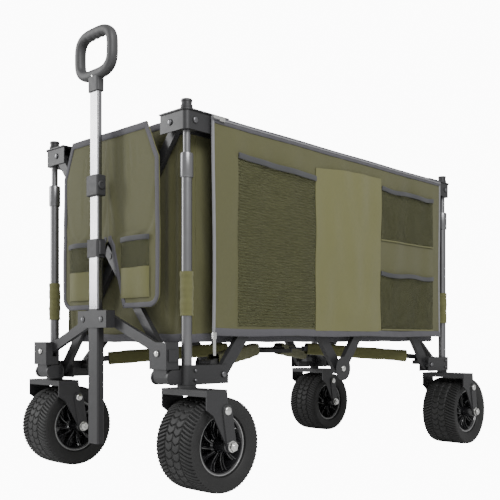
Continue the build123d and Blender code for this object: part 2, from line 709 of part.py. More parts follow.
with BuildPart() as latch:
    with BuildSketch(Plane((0, tube_y, latch_bottom_z))):
        RectangleRounded(tube_width + 4, tube_depth + 5, 5)
        RectangleRounded(upper_size[0] + 2 * slip_gap, upper_size[1] + 2 * slip_gap, 3.4, mode=Mode.SUBTRACT)
    extrude(amount=latch_top_z - latch_bottom_z)
    clip_x = tube_width / 2 + 2
    block(clip_x, clip_x + 5, tube_y - 7, tube_y + 7, latch_bottom_z + 6, latch_top_z - 4)
save(latch, "handle_latch")

with BuildPart() as grip:
    loop_z = upper_tube_top_z + neck_height + grip_height / 2 - 4
    with BuildSketch(Plane.XZ.offset(-tube_y)):
        with Locations((0, loop_z)):
            RectangleRounded(grip_width, grip_height, 42)
            RectangleRounded(grip_width - 2 * grip_bar, grip_height - 2 * grip_bar, 24, mode=Mode.SUBTRACT)
        with Locations((0, upper_tube_top_z + neck_height / 2)):
            Rectangle(tube_width, neck_height)
    extrude(amount=grip_depth / 2, both=True)
    chamfer(grip.faces().filter_by(Axis.Y).edges(), 4)
save(grip, "handle_grip")

# ---- bag: four walls and a floor in two halves --------------------------------------------------
inside = bag_half_width - bag_wall
for letter, sx in (("right", 1), ("left", -1)):
    with BuildPart() as wall:
        block(sx * inside, sx * bag_half_width, along(-bag_half_length + bag_corner),
              along(bag_half_length - bag_corner), bag_bottom_z, bag_top_z)
    save(wall, f"bag_wall_{letter}")
for word, sy in (("front", -1), ("rear", 1)):
    outline = bag_half_length
    with BuildPart() as wall:
        with BuildSketch(Plane.XY.offset(bag_bottom_z)):
            with Locations((0, along(0))):
                RectangleRounded(2 * bag_half_width, 2 * outline, bag_corner)
                RectangleRounded(2 * inside, 2 * (outline - bag_wall), bag_corner - bag_wall,
                                 mode=Mode.SUBTRACT)
            keep = bag_corner - cloth_gap
            with Locations((0, along(sy * (outline - keep / 2 + 1)))):
                Rectangle(frame_width, keep + 2, mode=Mode.INTERSECT)
        extrude(amount=bag_top_z - bag_bottom_z)
    save(wall, f"bag_wall_{word}")
for letter, sx in (("right", 1), ("left", -1)):
    floor_edge = inside - cloth_gap
    floor_end = bag_half_length - bag_wall - cloth_gap
    with BuildPart() as floor:
        block(sx * cloth_gap, sx * floor_edge, along(-floor_end), along(floor_end),
              bag_bottom_z, bag_bottom_z + bag_wall)
        corner_edges = floor.edges().filter_by(Axis.Z).group_by(Axis.X)[0 if sx < 0 else -1]
        fillet(corner_edges, bag_corner - bag_wall)
    save(floor, f"bag_floor_{letter}")

# ---- side organizer and front apron ---------------------------------------------------------------
organizer_x = half_width + rivet_out + slip_gap
outer_x = organizer_x + organizer_thickness
deep = outer_x + pocket_depth
pockets = (
    ("side_organizer", long_pocket_in - organizer_half_length, long_pocket_width,
     long_pocket_up, long_pocket_height),
    ("side_organizer", organizer_half_length - short_pocket_in - short_pocket_width, short_pocket_width,
     upper_pocket_up, upper_pocket_height),
    ("organizer_lower_pocket", organizer_half_length - short_pocket_in - short_pocket_width,
     short_pocket_width, lower_pocket_up, lower_pocket_height),
)
for piece in ("side_organizer", "organizer_lower_pocket"):
    with BuildPart() as panel:
        if piece == "side_organizer":
            block(organizer_x, outer_x, along(-organizer_half_length), along(organizer_half_length),
                  organizer_bottom_z, bag_top_z)
        for owner, y0, width, up, height in pockets:
            if owner != piece:
                continue
            y1 = y0 + width
            z0 = organizer_bottom_z + up
            z1 = z0 + height
            block(outer_x, deep, along(y0), along(y1), z0, z1)
            block(outer_x, deep - pocket_skin, along(y0 + pocket_skin), along(y1 - pocket_skin),
                  z0 + pocket_skin, z1 + 1, Mode.SUBTRACT)
    save(panel, piece)

apron_y = along(-half_length - layer - arm_thickness / 2 - cloth_gap)
apron_front = apron_y - apron_thickness
with BuildPart() as apron:
    with BuildSketch(Plane.XZ.offset(-apron_y)):
        with BuildLine():
            side, top_side = apron_half_width, apron_half_width - apron_top_step
            shoulder_z, notch_z = bag_top_z - apron_shoulder_drop, apron_bottom_z + notch_height
            low_z, low_side = apron_bottom_z + apron_corner, apron_half_width - apron_corner
            Polyline(
                (-top_side, bag_top_z), (top_side, bag_top_z), (side, shoulder_z), (side, low_z),
                (low_side, apron_bottom_z), (notch_width / 2, apron_bottom_z),
                (notch_tip_width / 2, notch_z), (-notch_tip_width / 2, notch_z),
                (-notch_width / 2, apron_bottom_z),
                (-low_side, apron_bottom_z), (-side, low_z), (-side, shoulder_z), close=True,
            )
        make_face()
    extrude(amount=apron_thickness)
    front = apron_front - bottle_pocket_depth
    for side in (1, -1):
        x0, x1 = side * bottle_pocket_in, side * bottle_pocket_out
        block(x0, x1, apron_y, front, bottle_pocket_bottom_z, bottle_pocket_top_z)
        block(x0 + side * pocket_skin, x1 - side * pocket_skin, apron_front, front + pocket_skin,
              bottle_pocket_bottom_z + pocket_skin, bottle_pocket_top_z + 1, Mode.SUBTRACT)
save(apron, "front_apron")
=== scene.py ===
"""A folding camp wagon: scissor frame, wide tyres, sewn bag, organizer, apron and telescopic handle."""
import math

import bmesh
import bpy
import numpy as np
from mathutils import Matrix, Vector


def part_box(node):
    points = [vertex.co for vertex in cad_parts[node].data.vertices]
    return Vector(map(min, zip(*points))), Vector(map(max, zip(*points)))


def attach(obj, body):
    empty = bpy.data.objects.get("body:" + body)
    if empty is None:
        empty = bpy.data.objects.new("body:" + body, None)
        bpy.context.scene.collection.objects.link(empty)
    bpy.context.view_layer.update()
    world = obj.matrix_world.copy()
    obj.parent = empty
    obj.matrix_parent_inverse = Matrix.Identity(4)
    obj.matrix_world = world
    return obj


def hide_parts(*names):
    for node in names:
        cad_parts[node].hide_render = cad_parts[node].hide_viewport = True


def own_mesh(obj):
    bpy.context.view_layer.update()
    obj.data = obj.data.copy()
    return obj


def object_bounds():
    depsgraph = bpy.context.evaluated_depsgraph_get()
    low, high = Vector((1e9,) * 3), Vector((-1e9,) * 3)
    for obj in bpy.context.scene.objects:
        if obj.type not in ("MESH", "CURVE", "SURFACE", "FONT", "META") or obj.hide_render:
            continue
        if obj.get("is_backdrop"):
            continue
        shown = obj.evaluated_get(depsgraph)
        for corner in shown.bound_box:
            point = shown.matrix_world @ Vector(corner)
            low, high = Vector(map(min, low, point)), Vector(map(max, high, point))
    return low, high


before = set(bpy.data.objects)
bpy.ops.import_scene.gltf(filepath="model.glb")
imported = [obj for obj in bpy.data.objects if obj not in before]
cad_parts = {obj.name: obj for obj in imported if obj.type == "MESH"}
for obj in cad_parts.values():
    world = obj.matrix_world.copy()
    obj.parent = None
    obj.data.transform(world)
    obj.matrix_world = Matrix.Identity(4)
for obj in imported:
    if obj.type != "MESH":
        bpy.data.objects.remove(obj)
cad_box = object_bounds()


# ---- camera ---------------------------------------------------------------------------------
# A level camera stands off the front right corner at knee height, so uprights stay upright.
def middle(node):
    """The middle of a CAD node's box."""
    low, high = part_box(node)
    return (np.array(low) + np.array(high)) / 2


post = {corner: middle(f"post_{corner}") for corner in ("fr", "fl", "rr", "rl")}
half_width = float(post["fr"][0])
front_y, rear_y = float(post["fr"][1]), float(post["rr"][1])
mid_y = (front_y + rear_y) / 2

camera_data = bpy.data.cameras.new("camera")
camera = bpy.data.objects.new("camera", camera_data)
bpy.context.scene.collection.objects.link(camera)
camera.location = (1.429, mid_y - 1.569, 0.318)
camera.rotation_euler = (math.radians(90), 0, math.radians(43.6))
camera_data.sensor_width = 36
camera_data.lens = 55.05
camera_data.shift_y = 0.178
camera_data.clip_start = 0.05
bpy.context.scene.camera = camera


# ---- floor and light --------------------------------------------------------------------------
# One broad soft light over the front right, a strip on the left and a pale sky. The floor only bounces
# light, and a white shell that only the camera sees fills the view behind the wagon.
class Mask:
    """A value that varies over a surface. Its sums and products add Math nodes to the finish."""

    def __init__(self, finish, socket):
        self.finish, self.socket = finish, socket

    def maths(self, operation, other, swapped=False):
        """One Math node on this value and another."""
        pair = (other, self) if swapped else (self, other)
        return self.finish.add("ShaderNodeMath", {"operation": operation}, {0: pair[0], 1: pair[1]})

    def __add__(self, other):
        return self.maths("ADD", other)

    def __sub__(self, other):
        return self.maths("SUBTRACT", other)

    def __rsub__(self, other):
        return self.maths("SUBTRACT", other, True)

    def __mul__(self, other):
        return self.maths("MULTIPLY", other)

    def __gt__(self, other):
        return self.maths("GREATER_THAN", other)

    __radd__ = __add__
    __rmul__ = __mul__

    def wave(self):
        """Its sine."""
        return self.finish.add("ShaderNodeMath", {"operation": "SINE"}, {0: self})


class Finish:
    """A material and its node tree. add() puts in one node and gives one output back as a Mask."""

    def __init__(self, name, **constants):
        self.material = bpy.data.materials.new(name)
        self.material.use_nodes = True
        self.tree = self.material.node_tree
        self.shader = self.tree.nodes["Principled BSDF"]
        for socket, value in constants.items():
            self.shader.inputs[socket.replace("_", " ")].default_value = value

    def add(self, kind, settings=None, sockets=None, output=0):
        node = self.tree.nodes.new(kind)
        for key, value in (settings or {}).items():
            setattr(node, key, value)
        for key, value in (sockets or {}).items():
            self.feed(node.inputs[key], value)
        return Mask(self, node.outputs[output])

    def feed(self, socket, value):
        if isinstance(value, Mask):
            self.tree.links.new(value.socket, socket)
        else:
            socket.default_value = value

    def paint(self, **sockets):
        for name, value in sockets.items():
            self.feed(self.shader.inputs[name.replace("_", " ")], value)

    def place(self):
        """Where a point lies on the object, in metres."""
        return self.add("ShaderNodeTexCoord", output=3)

    def along(self, axis):
        return self.add("ShaderNodeSeparateXYZ", sockets={0: self.place()}, output="XYZ".index(axis))

    def clouds(self, scale, detail=2.0, roughness=0.5):
        """Soft noise, scale patches to the metre."""
        sockets = {"Vector": self.place(), "Scale": scale, "Detail": detail, "Roughness": roughness}
        return self.add("ShaderNodeTexNoise", sockets=sockets)

    def between(self, factor, dark, light):
        """A colour between two, by a factor."""
        sockets = {0: factor, 6: (*dark, 1), 7: (*light, 1)}
        return self.add("ShaderNodeMix", {"data_type": "RGBA"}, sockets, output=2)

    def cloudy(self, scale, detail, dark, light, roughness=0.5):
        """Base colour in soft patches between two colours."""
        self.paint(Base_Color=self.between(self.clouds(scale, detail, roughness), dark, light))

    def relief(self, height, depth, strength=1.0):
        """Bumps of a depth in metres."""
        self.paint(Normal=self.add("ShaderNodeBump", sockets={"Height": height, "Distance": depth,
                                                              "Strength": strength}))


def mesh_piece(name, points, faces, smooth=True):
    """A new object from points and faces."""
    mesh = bpy.data.meshes.new(name)
    mesh.from_pydata([tuple(float(c) for c in p) for p in points], [], [tuple(f) for f in faces])
    mesh.update()
    made = bpy.data.objects.new(name, mesh)
    bpy.context.scene.collection.objects.link(made)
    if smooth:
        mesh.polygons.foreach_set("use_smooth", [True] * len(mesh.polygons))
    return made


studio = Finish("studio_floor", Roughness=0.6)
studio.cloudy(0.8, 2.0, (0.80, 0.80, 0.80), (0.84, 0.84, 0.84))
floor_half = 30
floor = mesh_piece("studio_floor", [(-floor_half, -floor_half, -0.0005), (floor_half, -floor_half, -0.0005),
                                    (floor_half, floor_half, -0.0005), (-floor_half, floor_half, -0.0005)],
                   [(0, 1, 2, 3)], smooth=False)
floor.data.materials.append(studio.material)
floor.visible_camera = False
floor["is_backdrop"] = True

white = Finish("studio_backdrop", Roughness=1.0, Emission_Strength=11.0)
white.cloudy(0.4, 2.0, (0.90, 0.90, 0.90), (0.94, 0.94, 0.94))
white.paint(Emission_Color=white.between(white.clouds(0.4), (0.98, 0.98, 0.98), (1.0, 1.0, 1.0)))
bm = bmesh.new()
bmesh.ops.create_icosphere(bm, subdivisions=4, radius=24)
backdrop_mesh = bpy.data.meshes.new("studio_backdrop")
bm.to_mesh(backdrop_mesh)
bm.free()
backdrop = bpy.data.objects.new("studio_backdrop", backdrop_mesh)
bpy.context.scene.collection.objects.link(backdrop)
backdrop_mesh.materials.append(white.material)
backdrop.visible_diffuse = False
backdrop.visible_glossy = False
backdrop.visible_transmission = False
backdrop.visible_volume_scatter = False
backdrop.visible_shadow = False
backdrop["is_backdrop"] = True

world = bpy.data.worlds.new("studio")
bpy.context.scene.world = world
world.use_nodes = True
world.node_tree.nodes["Background"].inputs[0].default_value = (1, 1, 1, 1)
world.node_tree.nodes["Background"].inputs[1].default_value = 0.62


def lamp(name, place, towards, size, watts):
    """A soft area light that looks towards a point."""
    data = bpy.data.lights.new(name, "AREA")
    data.shape, data.size, data.size_y, data.energy = "RECTANGLE", size[0], size[1], watts
    made = bpy.data.objects.new(name, data)
    bpy.context.scene.collection.objects.link(made)
    made.location = place
    made.rotation_euler = (Vector(towards) - Vector(place)).to_track_quat("-Z", "Y").to_euler()


lamp("broad_light", (2.6, -1.4, 2.6), (0, 0, 0.4), (1.8, 1.4), 120)
lamp("left_strip", (-2.4, -2.6, 1.6), (0, -0.3, 0.5), (0.7, 2.2), 80)


# ---- coated steel frame --------------------------------------------------------------------------
# Brackets, scissor arms, forks and base arms are pressed steel and flat tube under a dark grey powder
# coat: satin, with a fine orange peel. Edges are rolled, so they catch a thin line of light.
def powder_coat(name, dark, light, roughness):
    """Satin paint with a cloudy tone and a fine orange peel."""
    paint = Finish(name, Metallic=0.35, IOR=1.5)
    tone = paint.clouds(9, 3) * 0.7 + paint.clouds(240, 2) * 0.3
    paint.paint(Base_Color=paint.between(tone, dark, light))
    paint.paint(Roughness=paint.clouds(30, 3) * 0.14 + roughness)
    paint.relief(paint.clouds(1400, 2), 0.00012, 0.6)
    return paint.material


def rolled_edges(node, width, angle=40):
    """Rounds the sharp edges of a metal piece, as pressing and coating do."""
    bevel = node.modifiers.new("rolled_edges", "BEVEL")
    bevel.width, bevel.segments = width, 2
    bevel.limit_method, bevel.angle_limit = "ANGLE", math.radians(angle)
    bevel.harden_normals = True
    return node


def coat(node, material, edge=0.0008):
    """Gives a CAD node its material and rolls its edges."""
    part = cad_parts[node]
    part.data.materials.clear()
    part.data.materials.append(material)
    if edge:
        rolled_edges(part, edge)
    return part


frame_coat = powder_coat("frame_powder_coat", (0.027, 0.027, 0.028), (0.040, 0.040, 0.042), 0.36)
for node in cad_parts:
    if node.startswith(("lower_bracket", "top_bracket", "side_arm", "end_arm", "base_", "fork")):
        coat(node, frame_coat)


# ---- rivets, bolts and nuts -----------------------------------------------------------------------
# Domed zinc rivets close the pivots. Each axle ends in a plain hexagon nut over a washer.
def quads(rows, cols, round_rows=False, round_cols=False):
    """Faces over a grid of points listed row by row. A round way joins its last line to its first."""
    faces = []
    for i in range(rows if round_rows else rows - 1):
        here, below = i * cols, (i + 1) % rows * cols
        for j in range(cols if round_cols else cols - 1):
            after = (j + 1) % cols
            faces.append((here + j, here + after, below + after, below + j))
    return faces


def ended(rows, cols):
    """Faces of a tube of rows rings, with both ends closed."""
    faces = quads(rows, cols, round_cols=True)
    faces.append(tuple(reversed(range(cols))))
    faces.append(tuple(range((rows - 1) * cols, rows * cols)))
    return faces


def fit(piece, body, material=None):
    """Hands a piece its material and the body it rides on."""
    if material:
        piece.data.materials.append(material)
    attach(piece, body)
    return piece


def turned(name, place, axis, outline, sides=32, sharp=40):
    """A turned piece: outline is (along, radius) pairs from its seat out, round an axis."""
    axis = Vector(axis).normalized()
    across = axis.orthogonal().normalized()
    up = axis.cross(across)
    points = []
    for along, radius in outline:
        for k in range(sides):
            turn = 2 * math.pi * (k + 0.5) / sides
            offset = across * (math.cos(turn) * radius) + up * (math.sin(turn) * radius)
            points.append(Vector(place) + axis * along + offset)
    made = mesh_piece(name, points, ended(len(outline), sides))
    made.data.set_sharp_from_angle(angle=math.radians(sharp))
    return made


zinc = Finish("zinc_plate", Metallic=1.0)
zinc.cloudy(160, 3, (0.62, 0.62, 0.60), (0.82, 0.82, 0.80))
zinc.paint(Roughness=zinc.clouds(220) * 0.15 + 0.20)
dull_zinc = Finish("coated_rivet", Metallic=0.9)
dull_zinc.cloudy(160, 3, (0.13, 0.13, 0.135), (0.20, 0.20, 0.21))
dull_zinc.paint(Roughness=dull_zinc.clouds(200) * 0.12 + 0.28)


def rivet(name, place, axis, body, radius=0.0062, height=0.0028, metal=dull_zinc):
    """A domed rivet or screw head."""
    dome = [(0, radius), (height * 0.3, radius)]
    for step in range(1, 6):
        turn = math.pi / 2 * step / 6
        dome.append((height * (0.3 + 0.7 * math.sin(turn)), radius * math.cos(turn)))
    return fit(turned(name, place, axis, dome, 24, 60), body, metal.material)


lower_body = {"fr": "root", "fl": "corner_fl", "rr": "corner_rr", "rl": "corner_rl"}
fork_body = {"fr": "swivel_fr", "fl": "swivel_fl", "rr": "corner_rr", "rl": "corner_rl"}
sign = {"fr": (1, -1), "fl": (-1, -1), "rr": (1, 1), "rl": (-1, 1)}
core = 0.016                       # a bracket's block, from the post's axis
side_face = core + 0.0015          # the outside of its cover plate
pin_low_z, pin_top_z = 0.243, 0.768

for corner, (sx, sy) in sign.items():
    px, py = post[corner][:2]
    for number, (reach, z) in enumerate(((0.009, 0.010), (0.009, -0.010), (0.090, 0.0))):
        place = (px + sx * side_face, py - sy * reach, pin_low_z + z)
        small = number < 2
        rivet(f"lower_side_rivet_{corner}_{number}", place, (sx, 0, 0), lower_body[corner],
              0.0034 if small else 0.0062, 0.0032 if small else 0.0034)
    place = (px - sx * 0.034, py + sy * side_face, pin_low_z)
    rivet(f"lower_end_rivet_{corner}_0", place, (0, sy, 0), lower_body[corner])
    for number, reach in enumerate((0.009, 0.090)):
        place = (px + sx * side_face, py - sy * reach, pin_top_z)
        rivet(f"top_side_screw_{corner}_{number}", place, (sx, 0, 0), f"top_{corner}")
    place = (px - sx * 0.034, py + sy * side_face, pin_top_z)
    rivet(f"top_end_screw_{corner}", place, (0, sy, 0), f"top_{corner}")

leg_out = 0.069                    # a fork's outer face, from the wheel's middle
bolt_back, bolt_z = 0.01225, 0.173
link_thick, link_round = 0.0024, 0.0125
for corner in sign:
    axle = middle(f"rim_{corner}")
    bolt_yz = np.array([axle[1] - bolt_back, bolt_z])
    run = axle[1:] - bolt_yz
    length = float(np.hypot(*run))
    heading = run / length
    square = np.array([-heading[1], heading[0]])
    for side in (1, -1):
        face = axle[0] + side * leg_out
        tag = f"{corner}_{side + 1}"
        seat = (face + side * (0.0002 + link_thick), axle[1], axle[2])
        washer = turned(f"axle_washer_{tag}", seat, (side, 0, 0),
                        [(0, 0.0118), (0.0016, 0.0118), (0.0019, 0.0112)])
        nut = turned(f"axle_nut_{tag}", seat, (side, 0, 0),
                     [(0.0016, 0.0104), (0.0072, 0.0104), (0.0082, 0.0090)], sides=6, sharp=20)
        stud = turned(f"axle_stud_{tag}", seat, (side, 0, 0),
                      [(0.0080, 0.0052), (0.0100, 0.0052), (0.0106, 0.0044)])
        bolt_place = (face + side * link_thick, *bolt_yz)
        rivet(f"fork_bolt_{tag}", bolt_place, (side, 0, 0), fork_body[corner], 0.0088, 0.0052, zinc)
        for fitting in (washer, nut, stud):
            fit(fitting, fork_body[corner], zinc.material)
        # the link that carries the axle: a flat strip with rounded ends over the fork's leg
        outline = []
        for end, turn0 in ((length, -90), (0.0, 90)):
            for k in range(13):
                turn = math.radians(turn0 + k * 15)
                spot = heading * (end + math.cos(turn) * link_round) + square * math.sin(turn) * link_round
                outline.append(bolt_yz + spot)
        points = [(face + side * level, y, z) for level in (0.0, link_thick) for y, z in outline]
        count = len(outline)
        faces = [tuple(range(count)), tuple(reversed(range(count, 2 * count)))]
        faces += [(k, (k + 1) % count, (k + 1) % count + count, k + count) for k in range(count)]
        link = mesh_piece(f"axle_link_{tag}", points, faces, smooth=False)
        rolled_edges(link, 0.0007)
        fit(link, fork_body[corner], frame_coat)

for letter, sx in (("r", 1), ("l", -1)):
    x = sx * (half_width + 0.0145)
    rivet(f"side_hub_pin_{letter}", (x + sx * 0.0002, mid_y, pin_low_z), (sx, 0, 0), f"arm_{letter}2_outer",
          0.0075, 0.004, zinc)


# ---- posts ---------------------------------------------------------------------------------------
# Round steel tube with a silver-grey metallic coat. A turned collar guides the rod of the top bracket,
# and a sleeve of bag cloth is sewn round each tube.
post_coat = Finish("post_metallic_coat", Metallic=0.85)
post_coat.cloudy(14, 3, (0.17, 0.17, 0.175), (0.22, 0.22, 0.225))
post_coat.paint(Roughness=post_coat.clouds(60, 3) * 0.12 + 0.27)
post_coat.relief(post_coat.clouds(900, 2), 0.0001, 0.4)
caps = []
for corner in sign:
    px, py = post[corner][:2]
    part = coat(f"post_{corner}", post_coat.material, 0)
    part.data.set_sharp_from_angle(angle=math.radians(30))
    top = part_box(f"post_{corner}")[1][2]
    rod_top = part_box(f"top_bracket_{corner}")[1][2]
    shell = [(0, 0.0132), (0.0015, 0.0138), (0.047, 0.0138), (0.0500, 0.0128), (0.0506, 0.0105)]
    collar = turned(f"post_collar_{corner}", (px, py, top - 0.0495), (0, 0, 1), shell, 40, 35)
    fit(collar, lower_body[corner], post_coat.material)
    knob = [(0, 0.0125), (0.003, 0.0130), (0.010, 0.0124), (0.0125, 0.0085), (0.0150, 0.0083),
            (0.0165, 0.0118), (0.0205, 0.0120), (0.0224, 0.0100), (0.0226, 0.004)]
    cap = turned(f"post_cap_{corner}", (px, py, rod_top - 0.0222), (0, 0, 1), knob, 40, 50)
    caps.append(fit(cap, f"top_{corner}"))
    rod = turned(f"post_rod_{corner}", (px, py, top - 0.10), (0, 0, 1), [(0, 0.0079), (0.1475, 0.0079)], 32)
    fit(rod, f"top_{corner}", post_coat.material)


# ---- moulded black plastic ------------------------------------------------------------------------
# Caps, the latch and the grip are glass-filled nylon: nearly black, with a fine spark texture.
def moulded(name, dark, light, roughness=0.45, grain=0.00016):
    """Moulded plastic with a spark texture of a grain in metres."""
    plastic = Finish(name, Specular_IOR_Level=0.45)
    plastic.cloudy(25, 3, dark, light)
    plastic.paint(Roughness=plastic.clouds(90, 2) * 0.16 + roughness)
    plastic.relief(plastic.clouds(1700, 3, 0.6), grain, 0.7)
    return plastic.material


black_plastic = moulded("black_nylon", (0.016, 0.016, 0.017), (0.026, 0.026, 0.028))
for cap in caps:
    cap.data.materials.append(black_plastic)


# ---- tyres ------------------------------------------------------------------------------------------
# Wide solid rubber tyres with a flat crown. Two rows of blocks with bowed cuts run round the middle,
# and slanted lugs run off over each shoulder. The side walls are smooth down to the bead.
rubber = Finish("tyre_rubber", Specular_IOR_Level=0.35)
rubber.cloudy(35, 4, (0.010, 0.010, 0.010), (0.020, 0.020, 0.020), 0.6)
rubber.paint(Roughness=rubber.clouds(55, 3) * 0.16 + 0.50)
rubber.relief(rubber.clouds(1500, 3), 0.00018, 0.6)


def tread_depth(s, turn, pitches):
    """How deep the tread is cut, 0 to 1, at s from -1 to 1 across it."""
    def slot(phase, share, soft):
        """1 inside a slot that repeats each whole phase, with soft sides."""
        reach = np.abs((phase + 0.5) % 1 - 0.5)
        return np.clip((share / 2 + soft - reach) / soft, 0, 1)

    count = pitches * turn / (2 * np.pi)
    outer = np.abs(s)
    lean = 1.5 * np.clip((outer - 0.40) / 0.6, 0, 1) ** 0.8
    lugs = slot(count + lean + (s > 0) * 0.5, 0.26, 0.12) * np.clip((outer - 0.43) / 0.03, 0, 1)
    bow = 0.40 * np.sin(np.clip(outer / 0.40, 0, 1) * np.pi)
    blocks = slot(count / 2 + bow + (s > 0) * 0.25, 0.13, 0.06) * np.clip((0.41 - outer) / 0.03, 0, 1)
    sway = 0.016 * np.sin(count * np.pi)
    rows = np.zeros_like(s)
    for centre, wide in ((-0.42, 0.030), (0.0, 0.022), (0.42, 0.030)):
        away = np.abs(s - centre - sway)
        rows = np.maximum(rows, np.clip((wide - away) / 0.014, 0, 1))
    return np.maximum(np.maximum(lugs, blocks * 0.8), rows * 0.9)


def tyre(corner):
    """One tyre, turned round its axle with the tread cut into its crown."""
    name = f"tyre_{corner}"
    low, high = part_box(name)
    axle = middle(name)
    radius, half = (high[2] - low[2]) / 2 - 0.0002, (high[0] - low[0]) / 2 - 0.0008
    bead = 0.0646
    across, round_ = 88, 864
    pitches, cut = 72, 0.0040
    tread = half - 0.0018
    drop = 0.0030
    profile = []
    for k in range(across + 1):
        s = -1 + 2 * k / across
        profile.append((s * tread, radius - drop * abs(s) ** 6, s))
    wall = []
    steps = 16
    for k in range(1, steps + 1):
        t = k / steps
        x = tread + (half - tread) * math.sin(min(1, t * 4) * math.pi / 2) - 0.0075 * t ** 2.2
        wall.append((x, (radius - drop) - (radius - drop - bead - 0.001) * t, None))
    lip = [(half - 0.0085, bead + 0.0012, None), (half - 0.011, bead, None)]
    lip.append((half - 0.020, bead + 0.001, None))
    right = wall + lip
    left = [(-x, r, s) for x, r, s in reversed(right)]
    rings = left + profile + right
    turn = np.arange(round_) * 2 * np.pi / round_
    points = []
    for x, r, s in rings:
        level = np.full(round_, r)
        if s is not None:
            edge = min(1.0, (1.015 - abs(s)) / 0.02)
            level = level - cut * max(0, edge) * tread_depth(np.full(round_, s), turn, pitches)
        points.append(np.stack([np.full(round_, axle[0] + x), axle[1] + level * np.sin(turn),
                                axle[2] + level * np.cos(turn)], axis=1))
    faces = quads(len(rings), round_, round_rows=True, round_cols=True)
    made = mesh_piece(f"tyre_tread_{corner}", np.concatenate(points), faces)
    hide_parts(name)
    fit(made, f"wheel_{corner}", rubber.material)


# ---- rims --------------------------------------------------------------------------------------------
# Gloss black moulded rims. Ten swept spokes, each with a rib down its back, run from the hub barrel to
# a rolled lip, where a light grey ring is painted on as its thin highlight.
rim_gloss = Finish("rim_gloss_black", Coat_Weight=0.8, Coat_Roughness=0.06)
rim_gloss.cloudy(40, 2.0, (0.007, 0.007, 0.008), (0.014, 0.014, 0.015))
rim_gloss.paint(Roughness=rim_gloss.clouds(80, 3) * 0.10 + 0.16)
# The lip ring's finish is light grey against the black rim: a painted highlight on the rolled lip.
lip_painted_highlight = Finish("rim_lip_painted_highlight", Coat_Weight=0.5)
lip_painted_highlight.cloudy(60, 2.0, (0.16, 0.16, 0.16), (0.24, 0.24, 0.24))
lip_painted_highlight.paint(Roughness=lip_painted_highlight.clouds(60) * 0.12 + 0.25)


def rim(corner):
    """One rim: barrel, web, hub and both faces' spokes, with a painted highlight ring on the lip on each
    side.
    """
    name = f"rim_{corner}"
    low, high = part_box(name)
    axle = middle(name)
    outer = (high[2] - low[2]) / 2 - 0.0003
    hub_out = (high[0] - low[0]) / 2 - 0.0003
    barrel_half = 0.041
    bm = bmesh.new()

    sides = 96

    def around(outline):
        """Places of (x, radius) pairs turned round the axle."""
        spots = []
        for x, r in outline:
            for k in range(sides):
                turn = 2 * math.pi * k / sides
                spots.append((axle[0] + x, axle[1] + r * math.sin(turn), axle[2] + r * math.cos(turn)))
        return spots

    def ring(outline):
        """A closed ring in the rim's mesh."""
        verts = [bm.verts.new(spot) for spot in around(outline)]
        for face in quads(len(outline), sides, True, True):
            bm.faces.new([verts[k] for k in face])

    ring([(-barrel_half, outer - 0.0002), (barrel_half, outer - 0.0002), (barrel_half, outer - 0.006),
          (barrel_half - 0.004, outer - 0.0085), (0.012, outer - 0.013), (-0.012, outer - 0.013),
          (4e-3 - barrel_half, outer - 0.0085), (-barrel_half, outer - 0.006)])
    ring([(-0.008, 0.016), (0.008, 0.016), (0.008, outer - 0.012), (-0.008, outer - 0.012)])
    bore = 0.00615
    ring([(-hub_out, bore), (-hub_out, 0.0125), (-hub_out + 0.003, 0.0145), (-0.030, 0.0150),
          (-0.026, 0.0185),
          (0.026, 0.0185), (0.030, 0.0150), (hub_out - 0.003, 0.0145), (hub_out, 0.0125), (hub_out, bore)])
    spokes = 10
    for side in (1, -1):
        for n in range(spokes):
            base = 2 * math.pi * n / spokes
            for width, x_in, x_out, twist in ((0.0105, 0.031, 0.0315, 0.34), (0.0034, 0.0345, 0.0385, 0.34)):
                sections = []
                for k in range(9):
                    t = k / 8
                    r = 0.0165 + (outer - 0.0095 - 0.0165) * t
                    turn = base + side * twist * math.sin(t * math.pi / 2)
                    wide = width * (0.62 + 0.5 * t * t)
                    face = (x_in + (x_out - x_in) * t - 0.006 * math.sin(t * math.pi)) * side
                    back = 0.006 * side
                    corner_points = []
                    for x, w in ((back, -wide / 2), (face, -wide / 2 * 0.72), (face + side * 0.0012, 0.0),
                                 (face, wide / 2 * 0.72), (back, wide / 2)):
                        y = r * math.sin(turn) + w * math.cos(turn)
                        z = r * math.cos(turn) - w * math.sin(turn)
                        corner_points.append(bm.verts.new((axle[0] + x, axle[1] + y, axle[2] + z)))
                    sections.append(corner_points)
                for a, b in zip(sections, sections[1:]):
                    for k in range(5):
                        bm.faces.new((a[k], a[(k + 1) % 5], b[(k + 1) % 5], b[k]))
                bm.faces.new(sections[0])
                bm.faces.new(reversed(sections[-1]))
    bmesh.ops.recalc_face_normals(bm, faces=bm.faces)
    mesh = bpy.data.meshes.new(f"rim_{corner}_moulding")
    bm.to_mesh(mesh)
    bm.free()
    made = bpy.data.objects.new(mesh.name, mesh)
    bpy.context.scene.collection.objects.link(made)
    mesh.polygons.foreach_set("use_smooth", [True] * len(mesh.polygons))
    mesh.set_sharp_from_angle(angle=math.radians(35))
    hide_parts(name)
    fit(made, f"wheel_{corner}", rim_gloss.material)
    # a light grey ring on each side's lip: the painted highlight
    for side in (1, -1):
        x = axle[0] + side * (barrel_half + 0.0002)
        outline = [(-0.001, outer - 0.0035), (0.0012, outer - 0.0033), (0.0018, outer - 0.0018),
                   (0.0012, outer - 0.0004), (-0.001, outer - 0.0003)]
        points = around([(x - axle[0] + side * along, r) for along, r in outline])
        line = mesh_piece(f"rim_lip_{corner}_{side + 1}", points, quads(len(outline), sides, True, True))
        fit(line, f"wheel_{corner}", lip_painted_highlight.material)


for corner in sign:
    tyre(corner)
    rim(corner)


